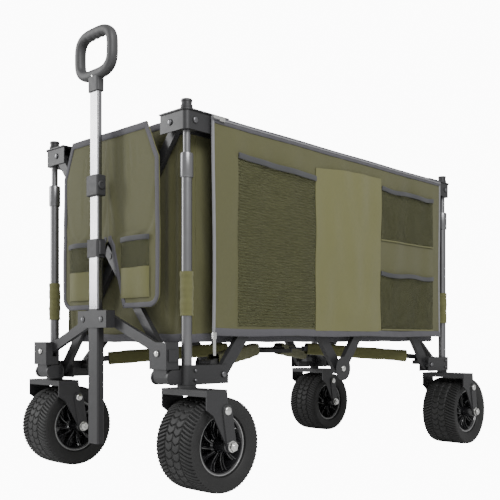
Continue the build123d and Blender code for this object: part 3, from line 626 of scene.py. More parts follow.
# ---- cloth ---------------------------------------------------------------------------------------------
# Bag, organizer, apron and sleeves are cut from olive polyester of a close basket weave, bound with a
# grey ribbed tape. The cloth is slack enough to ripple between its seams.
def woven(name, dark, light, threads=430):
    """Close weave of so many threads to the metre, with slubs and a soft cloudy shade."""
    cloth = Finish(name, Sheen_Weight=0.12, Sheen_Roughness=0.6, Specular_IOR_Level=0.25)
    turn = 2 * math.pi * threads
    up = (cloth.along("Z") * turn).wave()
    over = ((cloth.along("X") + cloth.along("Y")) * turn).wave()
    weave = up * over * 0.5 + 0.5
    slub = cloth.clouds(70, 3, 0.6)
    shade = cloth.clouds(3.2, 3) * 0.45 + slub * 0.30 + weave * 0.25
    cloth.paint(Base_Color=cloth.between(shade, dark, light))
    cloth.paint(Roughness=slub * 0.14 + 0.78 - 0.07)
    cloth.relief(weave + slub * 0.8, 0.00035, 0.7)
    return cloth.material


olive = woven("olive_cloth", (0.082, 0.082, 0.028), (0.126, 0.125, 0.046))
# A darker copy of the same olive cloth: painted shade, for the backs of the hung pieces and the bag's floor.
olive_painted_shade = woven("olive_cloth_painted_shade", (0.060, 0.060, 0.022), (0.088, 0.087, 0.034))
binding_tape = woven("grey_binding_tape", (0.046, 0.045, 0.051), (0.082, 0.080, 0.090), 300)
elastic = woven("dark_elastic", (0.030, 0.031, 0.033), (0.052, 0.053, 0.056), 260)


def ripple(y, z, seed, size=0.004):
    """Soft unevenness of hung cloth, in metres, from a few crossing waves."""
    total = 0.0
    for n in range(1, 6):
        a, b, c = (math.sin(seed * 12.9 * n) * 9, math.cos(seed * 7.7 * n) * 7, seed * 3.1 * n)
        total = total + np.sin(a * y * n * 0.8 + b * z * n * 0.6 + c) / n
    return total * size / 2.3


def cloth_faces(rows, cols):
    """Faces over a sheet's grid of points."""
    return [(a, d, c, b) for a, b, c, d in quads(rows, cols)]


def sheet_mesh(name, grid, thickness, material, inside=None):
    """A cloth piece from a grid of points: front and back skins with a closed edge."""
    grid = np.asarray(grid, float)
    rows, cols = grid.shape[:2]
    along = np.gradient(grid, axis=0)
    over = np.gradient(grid, axis=1)
    normal = np.cross(along, over)
    normal /= np.linalg.norm(normal, axis=2, keepdims=True) + 1e-12
    skins = [(grid + normal * thickness / 2).reshape(-1, 3), (grid - normal * thickness / 2).reshape(-1, 3)]
    skins = np.concatenate(skins)
    faces = cloth_faces(rows, cols)
    count = rows * cols
    front = len(faces)
    faces += [(a + count, b + count, c + count, d + count) for d, c, b, a in faces[:front]]
    rim_line = [j for j in range(cols)] + [i * cols + cols - 1 for i in range(1, rows)]
    rim_line += [(rows - 1) * cols + j for j in range(cols - 2, -1, -1)]
    rim_line += [i * cols for i in range(rows - 2, 0, -1)]
    for a, b in zip(rim_line, rim_line[1:] + rim_line[:1]):
        faces.append((a, b, b + count, a + count))
    made = mesh_piece(name, skins, faces)
    made.data.materials.append(material)
    # the back skin takes the darker painted-shade cloth when one is given
    if inside:
        made.data.materials.append(inside)
        for polygon in made.data.polygons[front:2 * front]:
            polygon.material_index = 1
    made.data.set_sharp_from_angle(angle=math.radians(60))
    return made


def settle(grid, held, frames=14):
    """Lets a sheet sewn along its held points hang under its own weight, and gives where it comes to rest."""
    grid = np.asarray(grid, float)
    rows, cols = grid.shape[:2]
    piece = mesh_piece("settling", grid.reshape(-1, 3), cloth_faces(rows, cols))
    group = piece.vertex_groups.new(name="held")
    group.add([int(k) for k in np.flatnonzero(np.asarray(held).reshape(-1))], 1.0, "REPLACE")
    cloth = piece.modifiers.new("cloth", "CLOTH")
    cloth.settings.vertex_group_mass = "held"
    cloth.settings.quality = 6
    cloth.settings.mass = 0.2
    cloth.settings.tension_stiffness = 30
    cloth.settings.compression_stiffness = 30
    cloth.settings.bending_stiffness = 2
    cloth.point_cache.frame_start = 1
    cloth.point_cache.frame_end = frames
    scene = bpy.context.scene
    for step in range(1, frames + 1):
        scene.frame_set(step)
    rested = piece.evaluated_get(bpy.context.evaluated_depsgraph_get()).data
    spots = np.empty(rows * cols * 3)
    rested.vertices.foreach_get("co", spots)
    mesh = piece.data
    bpy.data.objects.remove(piece)
    bpy.data.meshes.remove(mesh)
    scene.frame_set(1)
    return spots.reshape(grid.shape)


def sewn(rows, cols):
    """Marks the rim, the sides and the foot of a grid as held."""
    held = np.ones((rows, cols), bool)
    held[1:-1, 1:-1] = False
    return held


def tape(name, line, facing, width, thick, material, ribs=0.0):
    """A sewn tape along a line of points. facing is the way its face looks."""
    line = np.asarray(line, float)
    facing = np.broadcast_to(np.asarray(facing, float), line.shape)
    heading = np.gradient(line, axis=0)
    heading /= np.linalg.norm(heading, axis=1, keepdims=True) + 1e-12
    facing = facing - (facing * heading).sum(1, keepdims=True) * heading
    facing /= np.linalg.norm(facing, axis=1, keepdims=True) + 1e-12
    side = np.cross(heading, facing)
    shape = [(-0.5, -0.5), (-0.5, 0.25), (-0.42, 0.5), (-0.2, 0.6)]
    shape += [(-u, v) for u, v in reversed(shape)]
    travelled = np.concatenate([[0], np.cumsum(np.linalg.norm(np.diff(line, axis=0), axis=1))])
    swell = 1 + ribs * np.sin(travelled * 2 * np.pi / 0.0045)
    points = []
    for n in range(len(line)):
        for u, v in shape:
            points.append(line[n] + side[n] * u * width + facing[n] * v * thick * swell[n])
    made = mesh_piece(name, points, ended(len(line), len(shape)))
    made.data.set_sharp_from_angle(angle=math.radians(50))
    made.data.materials.append(material)
    return made


# how each hung piece follows the fold: its body, the way it flattens, and where it stays
folded_width, folded_length = 0.211 / 0.496, 0.466 / 1.036
follow = {
    "front": ("top_fr", (1, 0, 0), (half_width, 0, 0), folded_width),
    "rear": ("top_rr", (1, 0, 0), (half_width, 0, 0), folded_width),
    "right": ("top_fr", (0, 1, 0), (0, front_y, 0), folded_length),
    "left": ("top_fl", (0, 1, 0), (0, front_y, 0), folded_length),
}


def hang(piece, where):
    """Hangs a piece on one side of the frame: it rides on that side's body, with its own copy of its mesh."""
    body, axis, anchor, keep = follow[where]
    fit(piece, body)
    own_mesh(piece)
    return piece


# ---- sleeves on the posts and the base arms -------------------------------------------------------------
# Each post and each base arm wears a sleeve of the bag's cloth, sewn into a tube and slid on.
def squared(value, power):
    """Bends a sine or cosine so that a round outline turns squarer."""
    return math.copysign(abs(value) ** power, value)


def sleeve(name, start, end, half_a, half_b, up, body, corner_share=0.25):
    """A cloth tube from start to end round a bar of half sizes half_a (along up) and half_b."""
    start, end = np.array(start, float), np.array(end, float)
    heading = (end - start) / np.linalg.norm(end - start)
    up = np.array(up, float)
    up = up - heading * up.dot(heading)
    up /= np.linalg.norm(up)
    side = np.cross(heading, up)
    length = np.linalg.norm(end - start)
    steps, sides = 40, 56
    power = 2 / corner_share if corner_share < 1 else 2
    grid = []
    for n in range(steps + 1):
        t = n / steps
        puff = 0.0004 * math.sin(t * 17 + start[0] * 40) + 0.0003 * math.sin(t * 41 + 1.3)
        row = []
        for k in range(sides + 1):
            turn = 2 * math.pi * k / sides
            c, s = math.cos(turn), math.sin(turn)
            a = half_a * squared(c, 2 / power)
            b = half_b * squared(s, 2 / power)
            grow = 1 + (puff + 0.0003 * math.sin(3 * turn + t * 9)) / half_b
            row.append(start + heading * t * length + up * a * grow + side * b * grow)
        grid.append(row)
    made = sheet_mesh(name, grid, 0.0012, olive)
    weld = made.modifiers.new("side_seam", "WELD")
    weld.merge_threshold = 0.0001
    fit(made, body)
    return made


for corner, (sx, sy) in sign.items():
    px, py = post[corner][:2]
    sleeve(f"post_sleeve_{corner}", (px, py, 0.366), (px, py, 0.457), 0.0132, 0.0132, (1, 0, 0),
           lower_body[corner], 1)
    near = np.array([px - sx * 0.030, py - sy * 0.082, 0.265])
    hub = middle("base_hub")
    run = np.array([hub[0] - near[0], hub[1] - near[1], 0])
    run /= np.linalg.norm(run)
    run = run * math.cos(math.radians(4)) + np.array([0, 0, math.sin(math.radians(4))])
    sleeve(f"base_arm_sleeve_{corner}", near + run * 0.05, near + run * 0.37, 0.0160, 0.0125, (0, 0, 1),
           f"base_{corner}", 0.4)


# ---- handle -----------------------------------------------------------------------------------------
# Two coated arms meet in a pressed hub. Three flat tubes telescope through it, a moulded collar and
# clip hold them, and a moulded loop with finger grooves tops the brushed upper tube.
for name in ("handle_arm_r", "handle_arm_l", "handle_hub", "handle_tube_lower"):
    coat(name, frame_coat, 0.0012)
tube_metal = Finish("tube_metal", Metallic=1.0, Coat_Weight=0.4, Coat_Roughness=0.08)
tube_metal.cloudy(9, 3, (0.20, 0.20, 0.21), (0.36, 0.36, 0.37))
tube_metal.paint(Roughness=tube_metal.clouds(26, 4) * 0.10 + 0.19)
tube_metal.relief(tube_metal.clouds(900, 2), 0.00006, 0.5)
coat("handle_tube_upper", tube_metal.material, 0.0016)
coat("handle_tube_middle", tube_metal.material, 0.0016)
for name in ("handle_box_r", "handle_box_l"):
    coat(name, frame_coat, 0.0014)
coat("handle_latch", black_plastic, 0.0016)

tube = middle("handle_tube_upper")
hub_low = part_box("handle_hub")[0]
for side, letter in ((1, "r"), (-1, "l")):
    box = f"handle_box_{letter}"
    place = (middle(box)[0] - side * 0.004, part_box(box)[0][1] + 0.0012, 0.288)
    rivet(f"box_bolt_{side + 1}", place, (0, -1, 0), box, 0.0062, 0.0042, zinc)
    rivet(f"hub_bolt_{side + 1}", (side * 0.0345, hub_low[1] + 0.0012, 0.362), (0, -1, 0), "handle_hub",
          0.0052, 0.0032, dull_zinc)


def block(name, place, size, rounding, material):
    """A small moulded or pressed block with rounded edges."""
    bm = bmesh.new()
    bmesh.ops.create_cube(bm, size=1)
    for vertex in bm.verts:
        vertex.co = Vector([place[k] + vertex.co[k] * size[k] for k in range(3)])
    mesh = bpy.data.meshes.new(name)
    bm.to_mesh(mesh)
    bm.free()
    piece = bpy.data.objects.new(name, mesh)
    bpy.context.scene.collection.objects.link(piece)
    soften = piece.modifiers.new("edges", "BEVEL")
    soften.width, soften.segments = rounding, 3
    mesh.materials.append(material)
    return piece


# moulded collar on the upper tube, with a round lock button on its right side
collar_z = 0.660
collar = block("handle_collar", (tube[0], tube[1], collar_z), (0.0425, 0.0245, 0.047), 0.003, black_plastic)
fit(collar, "handle_upper")
dish = [(0, 0.0095), (0.0022, 0.0095), (0.0030, 0.0085), (0.0030, 0.0062), (0.0015, 0.0054), (0.0015, 0.0008)]
button = turned("handle_collar_button", (tube[0] + 0.0212, tube[1], collar_z), (1, 0, 0), dish)
fit(button, "handle_upper", black_plastic)

# moulded loop grip
grip_low, grip_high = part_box("handle_grip")
grip_finish = moulded("grip_plastic", (0.036, 0.036, 0.037), (0.060, 0.060, 0.062), 0.46, 0.00012)
around, section = 132, 28
bulk, half_deep, half_tall, finger_reach = 0.0112, 0.0122, 0.058, 0.040
half_x, half_z = (grip_high[0] - grip_low[0]) / 2 - 0.0115, half_tall - 0.0115
loop_x, loop_z, loop_y = tube[0], grip_high[2] - half_tall, tube[1]
points = []
for k in range(around):
    turn = 2 * math.pi * k / around
    c, s = math.cos(turn), math.sin(turn)
    power = 2 / 3.3
    x = half_x * squared(c, power)
    z = half_z * squared(s, power)
    outward = np.array([x / half_x ** 2 * abs(x / half_x) ** 1.3, z / half_z ** 2 * abs(z / half_z) ** 1.3])
    outward = outward / (np.linalg.norm(outward) + 1e-9)
    top = max(0.0, outward[1]) ** 3
    groove = 0.0
    if z > 0 and abs(x) < finger_reach:
        dip = 0.5 + 0.5 * math.cos(2 * math.pi * x / 0.0185)
        groove = 0.0030 * dip * min(1, (finger_reach - abs(x)) / 0.010)
    for n in range(section):
        spin = 2 * math.pi * n / section
        cs, sn = math.cos(spin), math.sin(spin)
        radial = bulk * squared(cs, 0.82)
        if cs < 0:
            radial = radial - groove * abs(cs) ** 1.5 + 0.0012 * top * abs(cs)
        depth = half_deep * squared(sn, 0.82)
        points.append((loop_x + x + outward[0] * radial, loop_y + depth, loop_z + z + outward[1] * radial))
faces = [(a, d, c, b) for a, b, c, d in quads(around, section, True, True)]
grip = mesh_piece("handle_grip_loop", points, faces)
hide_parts("handle_grip")
fit(grip, "handle_upper", grip_finish)
neck_points, neck_sides = [], 40
for z, wide, deep in ((0.8705, 0.0182, 0.0090), (0.8712, 0.0192, 0.0100), (0.880, 0.0193, 0.0102),
                      (0.898, 0.0194, 0.0104), (0.906, 0.0215, 0.0108), (0.912, 0.0290, 0.0108),
                      (0.918, 0.036, 0.0100)):
    for n in range(neck_sides):
        spin = 2 * math.pi * n / neck_sides
        x, y = wide * squared(math.cos(spin), 0.4), deep * squared(math.sin(spin), 0.4)
        neck_points.append((loop_x + x, loop_y + y, z))
neck = mesh_piece("handle_grip_neck", neck_points, ended(len(neck_points) // neck_sides, neck_sides))
neck.data.set_sharp_from_angle(angle=math.radians(50))
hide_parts("handle_grip")
fit(neck, "handle_upper", grip_finish)
screw_place = (tube[0], tube[1] - 0.0102, 0.905)
rivet("handle_grip_screw", screw_place, (0, -1, 0), "handle_upper", 0.0035, 0.0016, zinc)


# ---- bag -------------------------------------------------------------------------------------------------
# The bag hangs on the frame. Its walls bow a little between the corners, the corners fall in soft
# vertical folds, and grey tape binds the rim and the foot.
bag_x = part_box("bag_wall_right")[1][0]
foot_z, rim_z = (corner_place[2] for corner_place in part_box("bag_wall_front"))
turn_radius = 0.024


def hung_wall(name, node, path, where, folds):
    """A bag wall along a path of (x, y) points from foot to rim. folds sets its vertical waves."""
    path = np.array(path, float)
    heading = np.gradient(path, axis=0)
    heading /= np.linalg.norm(heading, axis=1, keepdims=True)
    out = np.stack([heading[:, 1], -heading[:, 0]], axis=1)
    travelled = np.concatenate([[0], np.cumsum(np.linalg.norm(np.diff(path, axis=0), axis=1))])
    rows = 60
    grid = []
    for i in range(rows + 1):
        z = foot_z + (rim_z - foot_z) * i / rows
        share = i / rows
        free = math.sin(math.pi * min(1, max(0, share))) ** 0.6
        sway = folds(travelled) * free + ripple(travelled * 3, z * 3, 0.7, 0.0016) * free
        grid.append(np.concatenate([path + out * sway[:, None], np.full((len(path), 1), z)], axis=1))
    grid = settle(grid, sewn(rows + 1, len(path)))
    made = sheet_mesh(name, grid, 0.0022, olive, olive_painted_shade)
    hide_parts(node)
    hang(made, where)


def straight(a, b, count):
    """Points from a towards b."""
    a, b = np.array(a, float), np.array(b, float)
    return [tuple(a + (b - a) * k / count) for k in range(count)]


def corner_arc(cx, cy, start, end, count=14):
    """Points round a corner of the bag, from one angle towards another."""
    arc = []
    for k in range(count):
        turn = math.radians(start + (end - start) * k / count)
        arc.append((cx + turn_radius * math.cos(turn), cy + turn_radius * math.sin(turn)))
    return arc


half_bag_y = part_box("bag_wall_rear")[1][1] - mid_y
y0, y1 = mid_y - half_bag_y + turn_radius, mid_y + half_bag_y - turn_radius
x1 = bag_x - turn_radius
shown = 0.0011
front_path = straight((-bag_x + shown, y0), (-bag_x + shown, y0 - 0.001), 1) + corner_arc(-x1, y0, 180, 270)
front_path += straight((-x1, mid_y - half_bag_y), (x1, mid_y - half_bag_y), 70)
front_path += corner_arc(x1, y0, 270, 360) + [(bag_x, y0)]
rear_path = (corner_arc(x1, y1, 0, 90) + straight((x1, mid_y + half_bag_y), (-x1, mid_y + half_bag_y), 70)
             + corner_arc(-x1, y1, 90, 180) + [(-bag_x, y1)])


def end_folds(travelled):
    """Vertical folds that are deepest by the corners and on the wall beside them."""
    total = travelled[-1]
    edge = np.minimum(travelled, total - travelled)
    near = np.exp(-((edge - 0.055) / 0.035) ** 2)
    hollow = np.exp(-((edge - 0.14) / 0.06) ** 2)
    return near * 0.0035 * np.sin(travelled * 2 * np.pi / 0.034) - 0.0025 * hollow


def side_folds(travelled):
    """A shallow hollow along a side wall, with slow waves."""
    total = travelled[-1]
    return -0.003 * np.sin(np.pi * travelled / total) + 0.0022 * np.sin(travelled * 2 * np.pi / 0.21)


hung_wall("bag_front_cloth", "bag_wall_front", front_path, "front", end_folds)
hung_wall("bag_rear_cloth", "bag_wall_rear", rear_path, "rear", end_folds)
right_path = straight((bag_x, y0), (bag_x, y1), 120) + [(bag_x, y1)]
left_path = straight((-bag_x, y1), (-bag_x, y0), 120) + [(-bag_x, y0)]
hung_wall("bag_right_cloth", "bag_wall_right", right_path, "right", side_folds)
hung_wall("bag_left_cloth", "bag_wall_left", left_path, "left", side_folds)

for word, path, where in (("front", front_path, "front"), ("rear", rear_path, "rear"),
                          ("right", right_path, "right"), ("left", left_path, "left")):
    path = np.array(path)
    heading = np.gradient(path, axis=0)
    heading /= np.linalg.norm(heading, axis=1, keepdims=True)
    out = np.stack([heading[:, 1], -heading[:, 0], np.zeros(len(path))], axis=1)
    for place, z, wide in (("rim", rim_z - 0.006, 0.016), ("foot", foot_z + 0.008, 0.018)):
        line = np.concatenate([path, np.full((len(path), 1), z)], axis=1) + out * 0.0004
        line[:, 2] += 0.0008 * np.sin(np.arange(len(path)) * 0.37)
        made = tape(f"bag_{word}_{place}_binding", line, out, wide, 0.0042, binding_tape, 0.05)
        hang(made, where)
        length = float(np.linalg.norm(np.diff(line, axis=0), axis=1).sum())

for word, side in (("right", 1), ("left", -1)):
    low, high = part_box(f"bag_floor_{word}")
    rows, cols = 80, 36
    grid = []
    for i in range(rows + 1):
        y = low[1] + (high[1] - low[1]) * i / rows
        row = []
        for j in range(cols + 1):
            x = low[0] + (high[0] - low[0]) * (j if side > 0 else cols - j) / cols
            z = (low[2] + high[2]) / 2 + 0.0008 * math.sin(x * 40 + side) * math.sin(y * 23)
            row.append((x, y, z))
        grid.append(row)
    # the bag's floor is in the darker painted-shade copy of the cloth
    made = sheet_mesh(f"bag_floor_{word}_cloth", grid, 0.0028, olive_painted_shade)
    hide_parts(f"bag_floor_{word}")
    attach(made, f"floor_{word}")
    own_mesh(made)


# ---- side organizer ------------------------------------------------------------------------------------
# A flat panel hangs outside the right side. Light piping edges it, ribbed tape binds its foot and rim,
# and it carries a long mesh pocket, a plain middle pocket and two fine mesh pockets.
panel_low, panel_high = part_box("side_organizer")
panel_y0, panel_y1 = panel_low[1], panel_high[1]
panel_z0, panel_z1 = panel_low[2], panel_high[2]
panel_x = panel_low[0] + 0.0026
# The panel's cloth is a lighter copy of the olive cloth: painted light on the right side.
panel_painted_light = woven("olive_panel_painted_light", (0.094, 0.094, 0.034), (0.136, 0.136, 0.052))
# The plain pocket's cloth is lighter still: painted light where the pocket stands proud of the panel.
pocket_painted_light = woven("olive_pocket_painted_light", (0.098, 0.097, 0.034), (0.142, 0.140, 0.053), 520)
piping = woven("light_piping", (0.14, 0.14, 0.15), (0.23, 0.23, 0.24), 300)


def panel_depth(y, z):
    """How far the panel's face stands out at a place, with its soft waves."""
    share = (z - panel_z0) / (panel_z1 - panel_z0)
    along = (y - panel_y0) / (panel_y1 - panel_y0)
    free = np.clip(np.minimum(share, 1 - share) * 9, 0, 1) * np.clip(np.minimum(along, 1 - along) * 14, 0, 1)
    wave = 0.0014 * np.sin(y * 31 + z * 4) + 0.0011 * np.sin(y * 67 - z * 11 + 1.7)
    wave = wave + 0.0008 * np.sin(z * 38 + y * 9)
    foot = 0.0022 * np.sin(y * 2 * np.pi / 0.31 + 0.6) * np.clip(1 - share * 3.2, 0, 1)
    return panel_x + wave * free + foot + ripple(y * 4, z * 4, 0.45, 0.0012) * free


def on_panel(name, span, foot, top, lift, material, bulge, thick, size, rough):
    """A patch of cloth over the panel, lift in front of it, from foot up to top(across).

    It bulges towards its middle and top, and size gives its rows and columns of points.
    """
    rows, cols = size
    grid = []
    for i in range(rows + 1):
        share = i / rows
        row = []
        for j in range(cols + 1):
            across = j / cols
            y = span[0] + (span[1] - span[0]) * across
            z = foot + (top(across) - foot) * share
            arch = math.sin(math.pi * across)
            swell = bulge * arch ** 0.8 * (0.25 + 0.75 * share ** 0.7) * min(1, share * 8)
            shake = rough * math.sin(y * 90 + z * 17) * min(1, share * 5) * arch
            row.append((float(panel_depth(y, z)) + lift + swell + shake, y, z))
        grid.append(row)
    return sheet_mesh(name, grid, thick, material)


def across_panel(name, span, top, lift, bulge, drop, wide, thick, material, count=60):
    """A tape across a pocket along the line top(across), moved up by drop."""
    line = []
    for t in np.linspace(0, 1, count):
        y = span[0] + (span[1] - span[0]) * t
        out = float(panel_depth(y, top(t))) + lift + bulge * math.sin(math.pi * t) ** 0.8
        line.append((out, y, top(t) + drop))
    return tape(name, line, (1, 0, 0), wide, thick, material, 0.05)


rows, cols = 92, 184
ys = np.linspace(panel_y0, panel_y1, cols + 1)
grid = []
for i in range(rows + 1):
    z = panel_z0 + (panel_z1 - panel_z0) * i / rows
    bow = 0.0022 * np.sin(np.pi * i / rows * 1.5)
    y_line = ys + bow * (1 - 2 * (ys - panel_y0) / (panel_y1 - panel_y0))
    grid.append(np.stack([panel_depth(y_line, z), y_line, np.full(cols + 1, z)], axis=1))
grid = np.array(grid)
stitched = (abs(grid[:, :, 1] - mid_y - 0.015) < 0.414) & (grid[:, :, 2] < 0.752)
grid = settle(grid, sewn(rows + 1, cols + 1) | stitched)
organizer = sheet_mesh("organizer_panel", grid, 0.0024, panel_painted_light, olive_painted_shade)
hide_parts("side_organizer")
with_panel = []
for word, j in (("front", 0), ("rear", cols)):
    line = grid[:, j] + np.array([0.0012, 0, 0])
    edge = tape(f"organizer_{word}_piping", line, (1, 0, 0), 0.0058, 0.0042, piping, 0.06)
    with_panel.append(edge)
for word, i, wide, lift, sag, ribs in (("foot", 0, 0.0165, 0.0075, 1, 0.16),
                                       ("rim", rows, 0.0150, -0.0065, 0.4, 0.04)):
    line = grid[i][::2] + np.array([0.0014, 0, lift])
    line[:, 2] += 0.0011 * np.sin(line[:, 1] * 21 + 0.4) * sag
    with_panel.append(tape(f"organizer_{word}_binding", line, (1, 0, 0), wide, 0.0040, binding_tape, ribs))
line = grid[rows][::2] + np.array([0.0030, 0, -0.0052])
teeth = tape("organizer_rim_zip", line, (1, 0, 0), 0.0036, 0.0036, piping, 0.22)
with_panel.append(teeth)

ribbed = Finish("ribbed_mesh", Specular_IOR_Level=0.2)
rib = (ribbed.along("Z") * (2 * math.pi / 0.0068)).wave() * 0.5 + 0.5
thread = (ribbed.along("Y") * (2 * math.pi / 0.0021)).wave() * 0.5 + 0.5
ribbed.cloudy(30, 2.0, (0.055, 0.057, 0.026), (0.080, 0.082, 0.040))
ribbed.paint(Roughness=ribbed.clouds(60) * 0.1 + 0.7)
ribbed.paint(Alpha=rib * rib * 0.42 + thread * 0.10 + 0.10)
fine = Finish("fine_mesh", Specular_IOR_Level=0.2)
cross = (fine.along("Z") * (2 * math.pi / 0.0017)).wave() * (fine.along("Y") * (2 * math.pi / 0.0017)).wave()
fine.cloudy(30, 2.0, (0.040, 0.042, 0.020), (0.060, 0.062, 0.030))
fine.paint(Roughness=fine.clouds(60) * 0.1 + 0.68)
fine.paint(Alpha=cross * 0.04 + fine.clouds(12) * 0.12 + 0.22)

long_span = (mid_y - 0.390, mid_y - 0.123)
plain_span = (mid_y - 0.123, mid_y + 0.154)
net_span = (mid_y + 0.157, mid_y + 0.422)


def long_top(across):
    """The long pocket's rim, sagging towards the rear."""
    return 0.716 + 0.002 - 0.006 * math.sin(math.pi * across) - 0.010 * across ** 3


def plain_top(across):
    """The plain pocket's rim, arched and rising to the rear."""
    return 0.731 + 0.015 * across + 0.004 * math.sin(math.pi * across)


mesh_long = on_panel("organizer_long_mesh", long_span, 0.345, long_top, 0.0026, ribbed.material, 0.0065,
                     0.0008, (60, 40), 0.0006)
line = []
for t in np.linspace(0, 1, 60):
    y = long_span[0] + (long_span[1] - long_span[0]) * t
    out = float(panel_depth(y, long_top(t))) + 0.0045 + 0.0065 * math.sin(math.pi * t) ** 0.8
    line.append((out, y + 0.001 * (2 * t - 1), long_top(t) - 0.003))
band = tape("organizer_long_band", line, (1, 0, 0), 0.0125, 0.0026, elastic, 0.05)
# the plain pocket, in the lighter painted-light copy of the cloth
middle_pocket = on_panel("organizer_plain_pocket", plain_span, 0.338, plain_top, 0.0030, pocket_painted_light, 0.0030,
                         0.0020, (60, 44), 0.0007)
pocket_pieces = [mesh_long, band, middle_pocket]
for word, foot, rim in (("upper", 0.583, 0.728), ("lower", 0.342, 0.500)):
    def net_top(across):
        """The mesh pocket's slack rim."""
        return rim - 0.002 - 0.005 * math.sin(math.pi * across) - 0.003 * math.sin(across * 9)

    def net_foot(across):
        """The seam under the mesh pocket."""
        return foot

    net = on_panel(f"organizer_{word}_mesh", net_span, foot, net_top, 0.0026, fine.material, 0.0060,
                   0.0008, (30, 40), 0.0010)
    strap = across_panel(f"organizer_{word}_band", net_span, net_top, 0.0046, 0.0060, -0.003,
                         0.0115, 0.0026, elastic)
    seam = across_panel(f"organizer_{word}_seam", net_span, net_foot, 0.0034, 0.0, 0.001,
                        0.0040, 0.0016, olive, 40)
    pocket_pieces += [net, strap, seam]
    if word == "lower":
        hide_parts("organizer_lower_pocket")
for piece in [organizer] + with_panel + pocket_pieces:
    hang(piece, "right")
for piece in pocket_pieces:
    if "mesh" in piece.name or "pocket" in piece.name:
        spots = np.array([vertex.co for vertex in piece.data.vertices])
        near, far = spots.min(0), spots.max(0)

# zip slider and pull at the front corners
slider = grid[rows][2] + np.array([0.0050, 0.012, -0.004])
pull_low = grid[0][0] + np.array([0.0045, -0.002, 0.0])
for name, seat, away, size in (("zip_slider_body", slider, (0, 0, 0), (0.007, 0.016, 0.010)),
                               ("zip_slider_pull", slider, (0.003, -0.016, 0.001), (0.003, 0.022, 0.007)),
                               ("zip_foot_slider", pull_low, (0, 0, 0), (0.006, 0.010, 0.014)),
                               ("zip_foot_pull", pull_low, (0.002, -0.001, -0.024), (0.003, 0.0075, 0.036))):
    hang(block(name, seat + np.array(away), size, 0.0012, zinc.material), "right")


# ---- front apron -----------------------------------------------------------------------------------------
# A panel hangs in front of the bag behind the handle. Grey tape outlines it, a notch leaves room for
# the arms' hub, and two bottle pockets stand on its lower lobes.
apron_low, apron_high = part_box("front_apron")
apron_y = apron_high[1] - 0.0020
apron_z0, apron_z1 = apron_low[2], apron_high[2]
side_x = apron_high[0]


lobe_round = 0.030                 # radius of the lower outer corners
slope_z, slope_in = 0.705, 0.040   # where the sides start to lean in, and how far they lean
notch_top, notch_round, notch_flare = 0.540, 0.016, 0.044


def apron_side(z):
    """Half the apron's width at a height."""
    if z < apron_z0 + lobe_round:
        rise = (apron_z0 + lobe_round - z) / lobe_round
        return side_x - lobe_round + lobe_round * math.sqrt(max(0.0, 1 - rise ** 2))
    if z < slope_z:
        return side_x
    return side_x - slope_in * (z - slope_z) / (apron_z1 - slope_z)


def notch(z):
    """Half the width of the notch between the lobes at a height."""
    if z > notch_top:
        return 0.0
    drop = (notch_top - z) / (notch_top - apron_z0)
    return notch_round * math.sqrt(min(1.0, drop * 9)) + notch_flare * drop ** 1.25


def apron_depth(x, z):
    """Where the apron's face stands, with its soft waves."""
    share = (z - apron_z0) / (apron_z1 - apron_z0)
    free = np.clip((1 - share) * 7, 0, 1)
    wave = 0.0016 * np.sin(x * 52 + 0.5) * free + 0.0010 * np.sin(x * 97 - z * 13) * free
    lobes = 0.0022 * np.clip(0.5 - share, 0, 1) * (1 + np.sin(x * 20))
    return apron_y - 0.0012 - wave - lobes + ripple(x * 5, z * 5, 0.3, 0.0010)


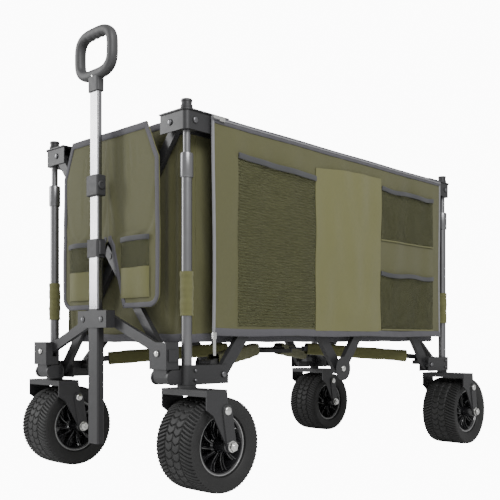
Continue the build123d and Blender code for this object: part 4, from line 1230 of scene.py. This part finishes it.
apron_halves = []
cols = 50
levels = list(np.linspace(apron_z0, apron_z0 + lobe_round, 14))
levels += list(np.linspace(apron_z0 + 0.033, notch_top, 40))
levels += list(np.linspace(0.5425, apron_z1, 54))
for side in (1, -1):
    grid = []
    for z in levels:
        inner, outer = notch(z), apron_side(z)
        row = []
        for j in range(cols + 1):
            t = j / cols
            x = side * (inner + (outer - inner) * t)
            row.append((x, float(apron_depth(x, z)), z))
        grid.append(row if side > 0 else row[::-1])
    grid = np.array(grid)
    stitched = (abs(abs(grid[:, :, 0]) - 0.1025) < 0.054) & (abs(grid[:, :, 2] - 0.474) < 0.072)
    grid = settle(grid, sewn(len(grid), cols + 1) | stitched)
    half = sheet_mesh(f"apron_half_{side + 1}", grid, 0.0024, olive, olive_painted_shade)
    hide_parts("front_apron")
    apron_halves.append(half)
inset = 0.0058
bindings = []
for side in (1, -1):
    outline = [(0.003, 0.548)] + [(notch(z), z) for z in np.linspace(0.538, apron_z0, 50)]
    outline += [(x, apron_z0) for x in np.linspace(notch(apron_z0) + 0.003, side_x - 0.032, 26)]
    for turn in np.linspace(0.06, math.pi / 2, 14):
        outline.append((side_x - lobe_round + lobe_round * math.sin(turn),
                        apron_z0 + lobe_round - lobe_round * math.cos(turn)))
    outline += [(side_x, z) for z in np.linspace(apron_z0 + 0.034, 0.702, 60)]
    outline += [(apron_side(z), z) for z in np.linspace(0.708, apron_z1 - 0.001, 20)]
    outline = np.array(outline)
    heading = np.gradient(outline, axis=0)
    heading /= np.linalg.norm(heading, axis=1, keepdims=True)
    inward = np.stack([-heading[:, 1], heading[:, 0]], axis=1)
    moved = outline + inward * inset
    line = [(side * x, float(apron_depth(side * x, z)) - 0.0012, z) for x, z in moved]
    bindings.append(tape(f"apron_binding_{side + 1}", line, (0, -1, 0), 0.0112, 0.0036, binding_tape, 0.04))
line = [(x, float(apron_depth(x, apron_z1 - 0.007)) - 0.0014, apron_z1 - 0.007)
        for x in np.linspace(-side_x + 0.041, side_x - 0.041, 90)]
bindings.append(tape("apron_rim_binding", line, (0, -1, 0), 0.0150, 0.0038, binding_tape, 0.04))

bottle_pieces, rows, cols = [], 24, 30
for side in (1, -1):
    x_in, x_out = side * 0.052, side * 0.153
    for name, z0, z1, swell_in, swell, material, thick in (
            ("cloth", 0.408, 0.474, 0.001, 0.009, olive, 0.0018),
            ("mesh", 0.470, 0.533, 0.009, 0.012, fine.material, 0.0008)):
        grid = []
        for i in range(rows + 1):
            share = i / rows
            z = z0 + (z1 - z0) * share
            row = []
            for j in range(cols + 1):
                across = j / cols
                x = x_in + (x_out - x_in) * across
                bulge = (swell_in + (swell - swell_in) * share ** 0.6) * math.sin(math.pi * across) ** 0.55
                row.append((x, float(apron_depth(x, z)) - 0.0026 - bulge, z))
            grid.append(row if side > 0 else row[::-1])
        bottle_pieces.append(sheet_mesh(f"bottle_{name}_{side + 1}", grid, thick, material))
    line = []
    for t in np.linspace(-0.02, 1.02, 50).clip(0, 1):
        x = x_in + (x_out - x_in) * t
        line.append((x, float(apron_depth(x, 0.536)) - 0.0040 - 0.012 * math.sin(math.pi * t) ** 0.55, 0.536))
    line = line if side > 0 else line[::-1]
    bottle_pieces.append(tape(f"bottle_band_{side + 1}", line, (0, -1, 0), 0.0110, 0.0028, elastic, 0.05))
for piece in apron_halves + bindings + bottle_pieces:
    hang(piece, "front")


# ---- sizes -----------------------------------------------------------------------------------------------
# The boxes of the frame as loaded and of the finished wagon.
size = {"cad": [[float(c) for c in corner] for corner in cad_box],
        "visual": [[float(c) for c in corner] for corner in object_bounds()]}
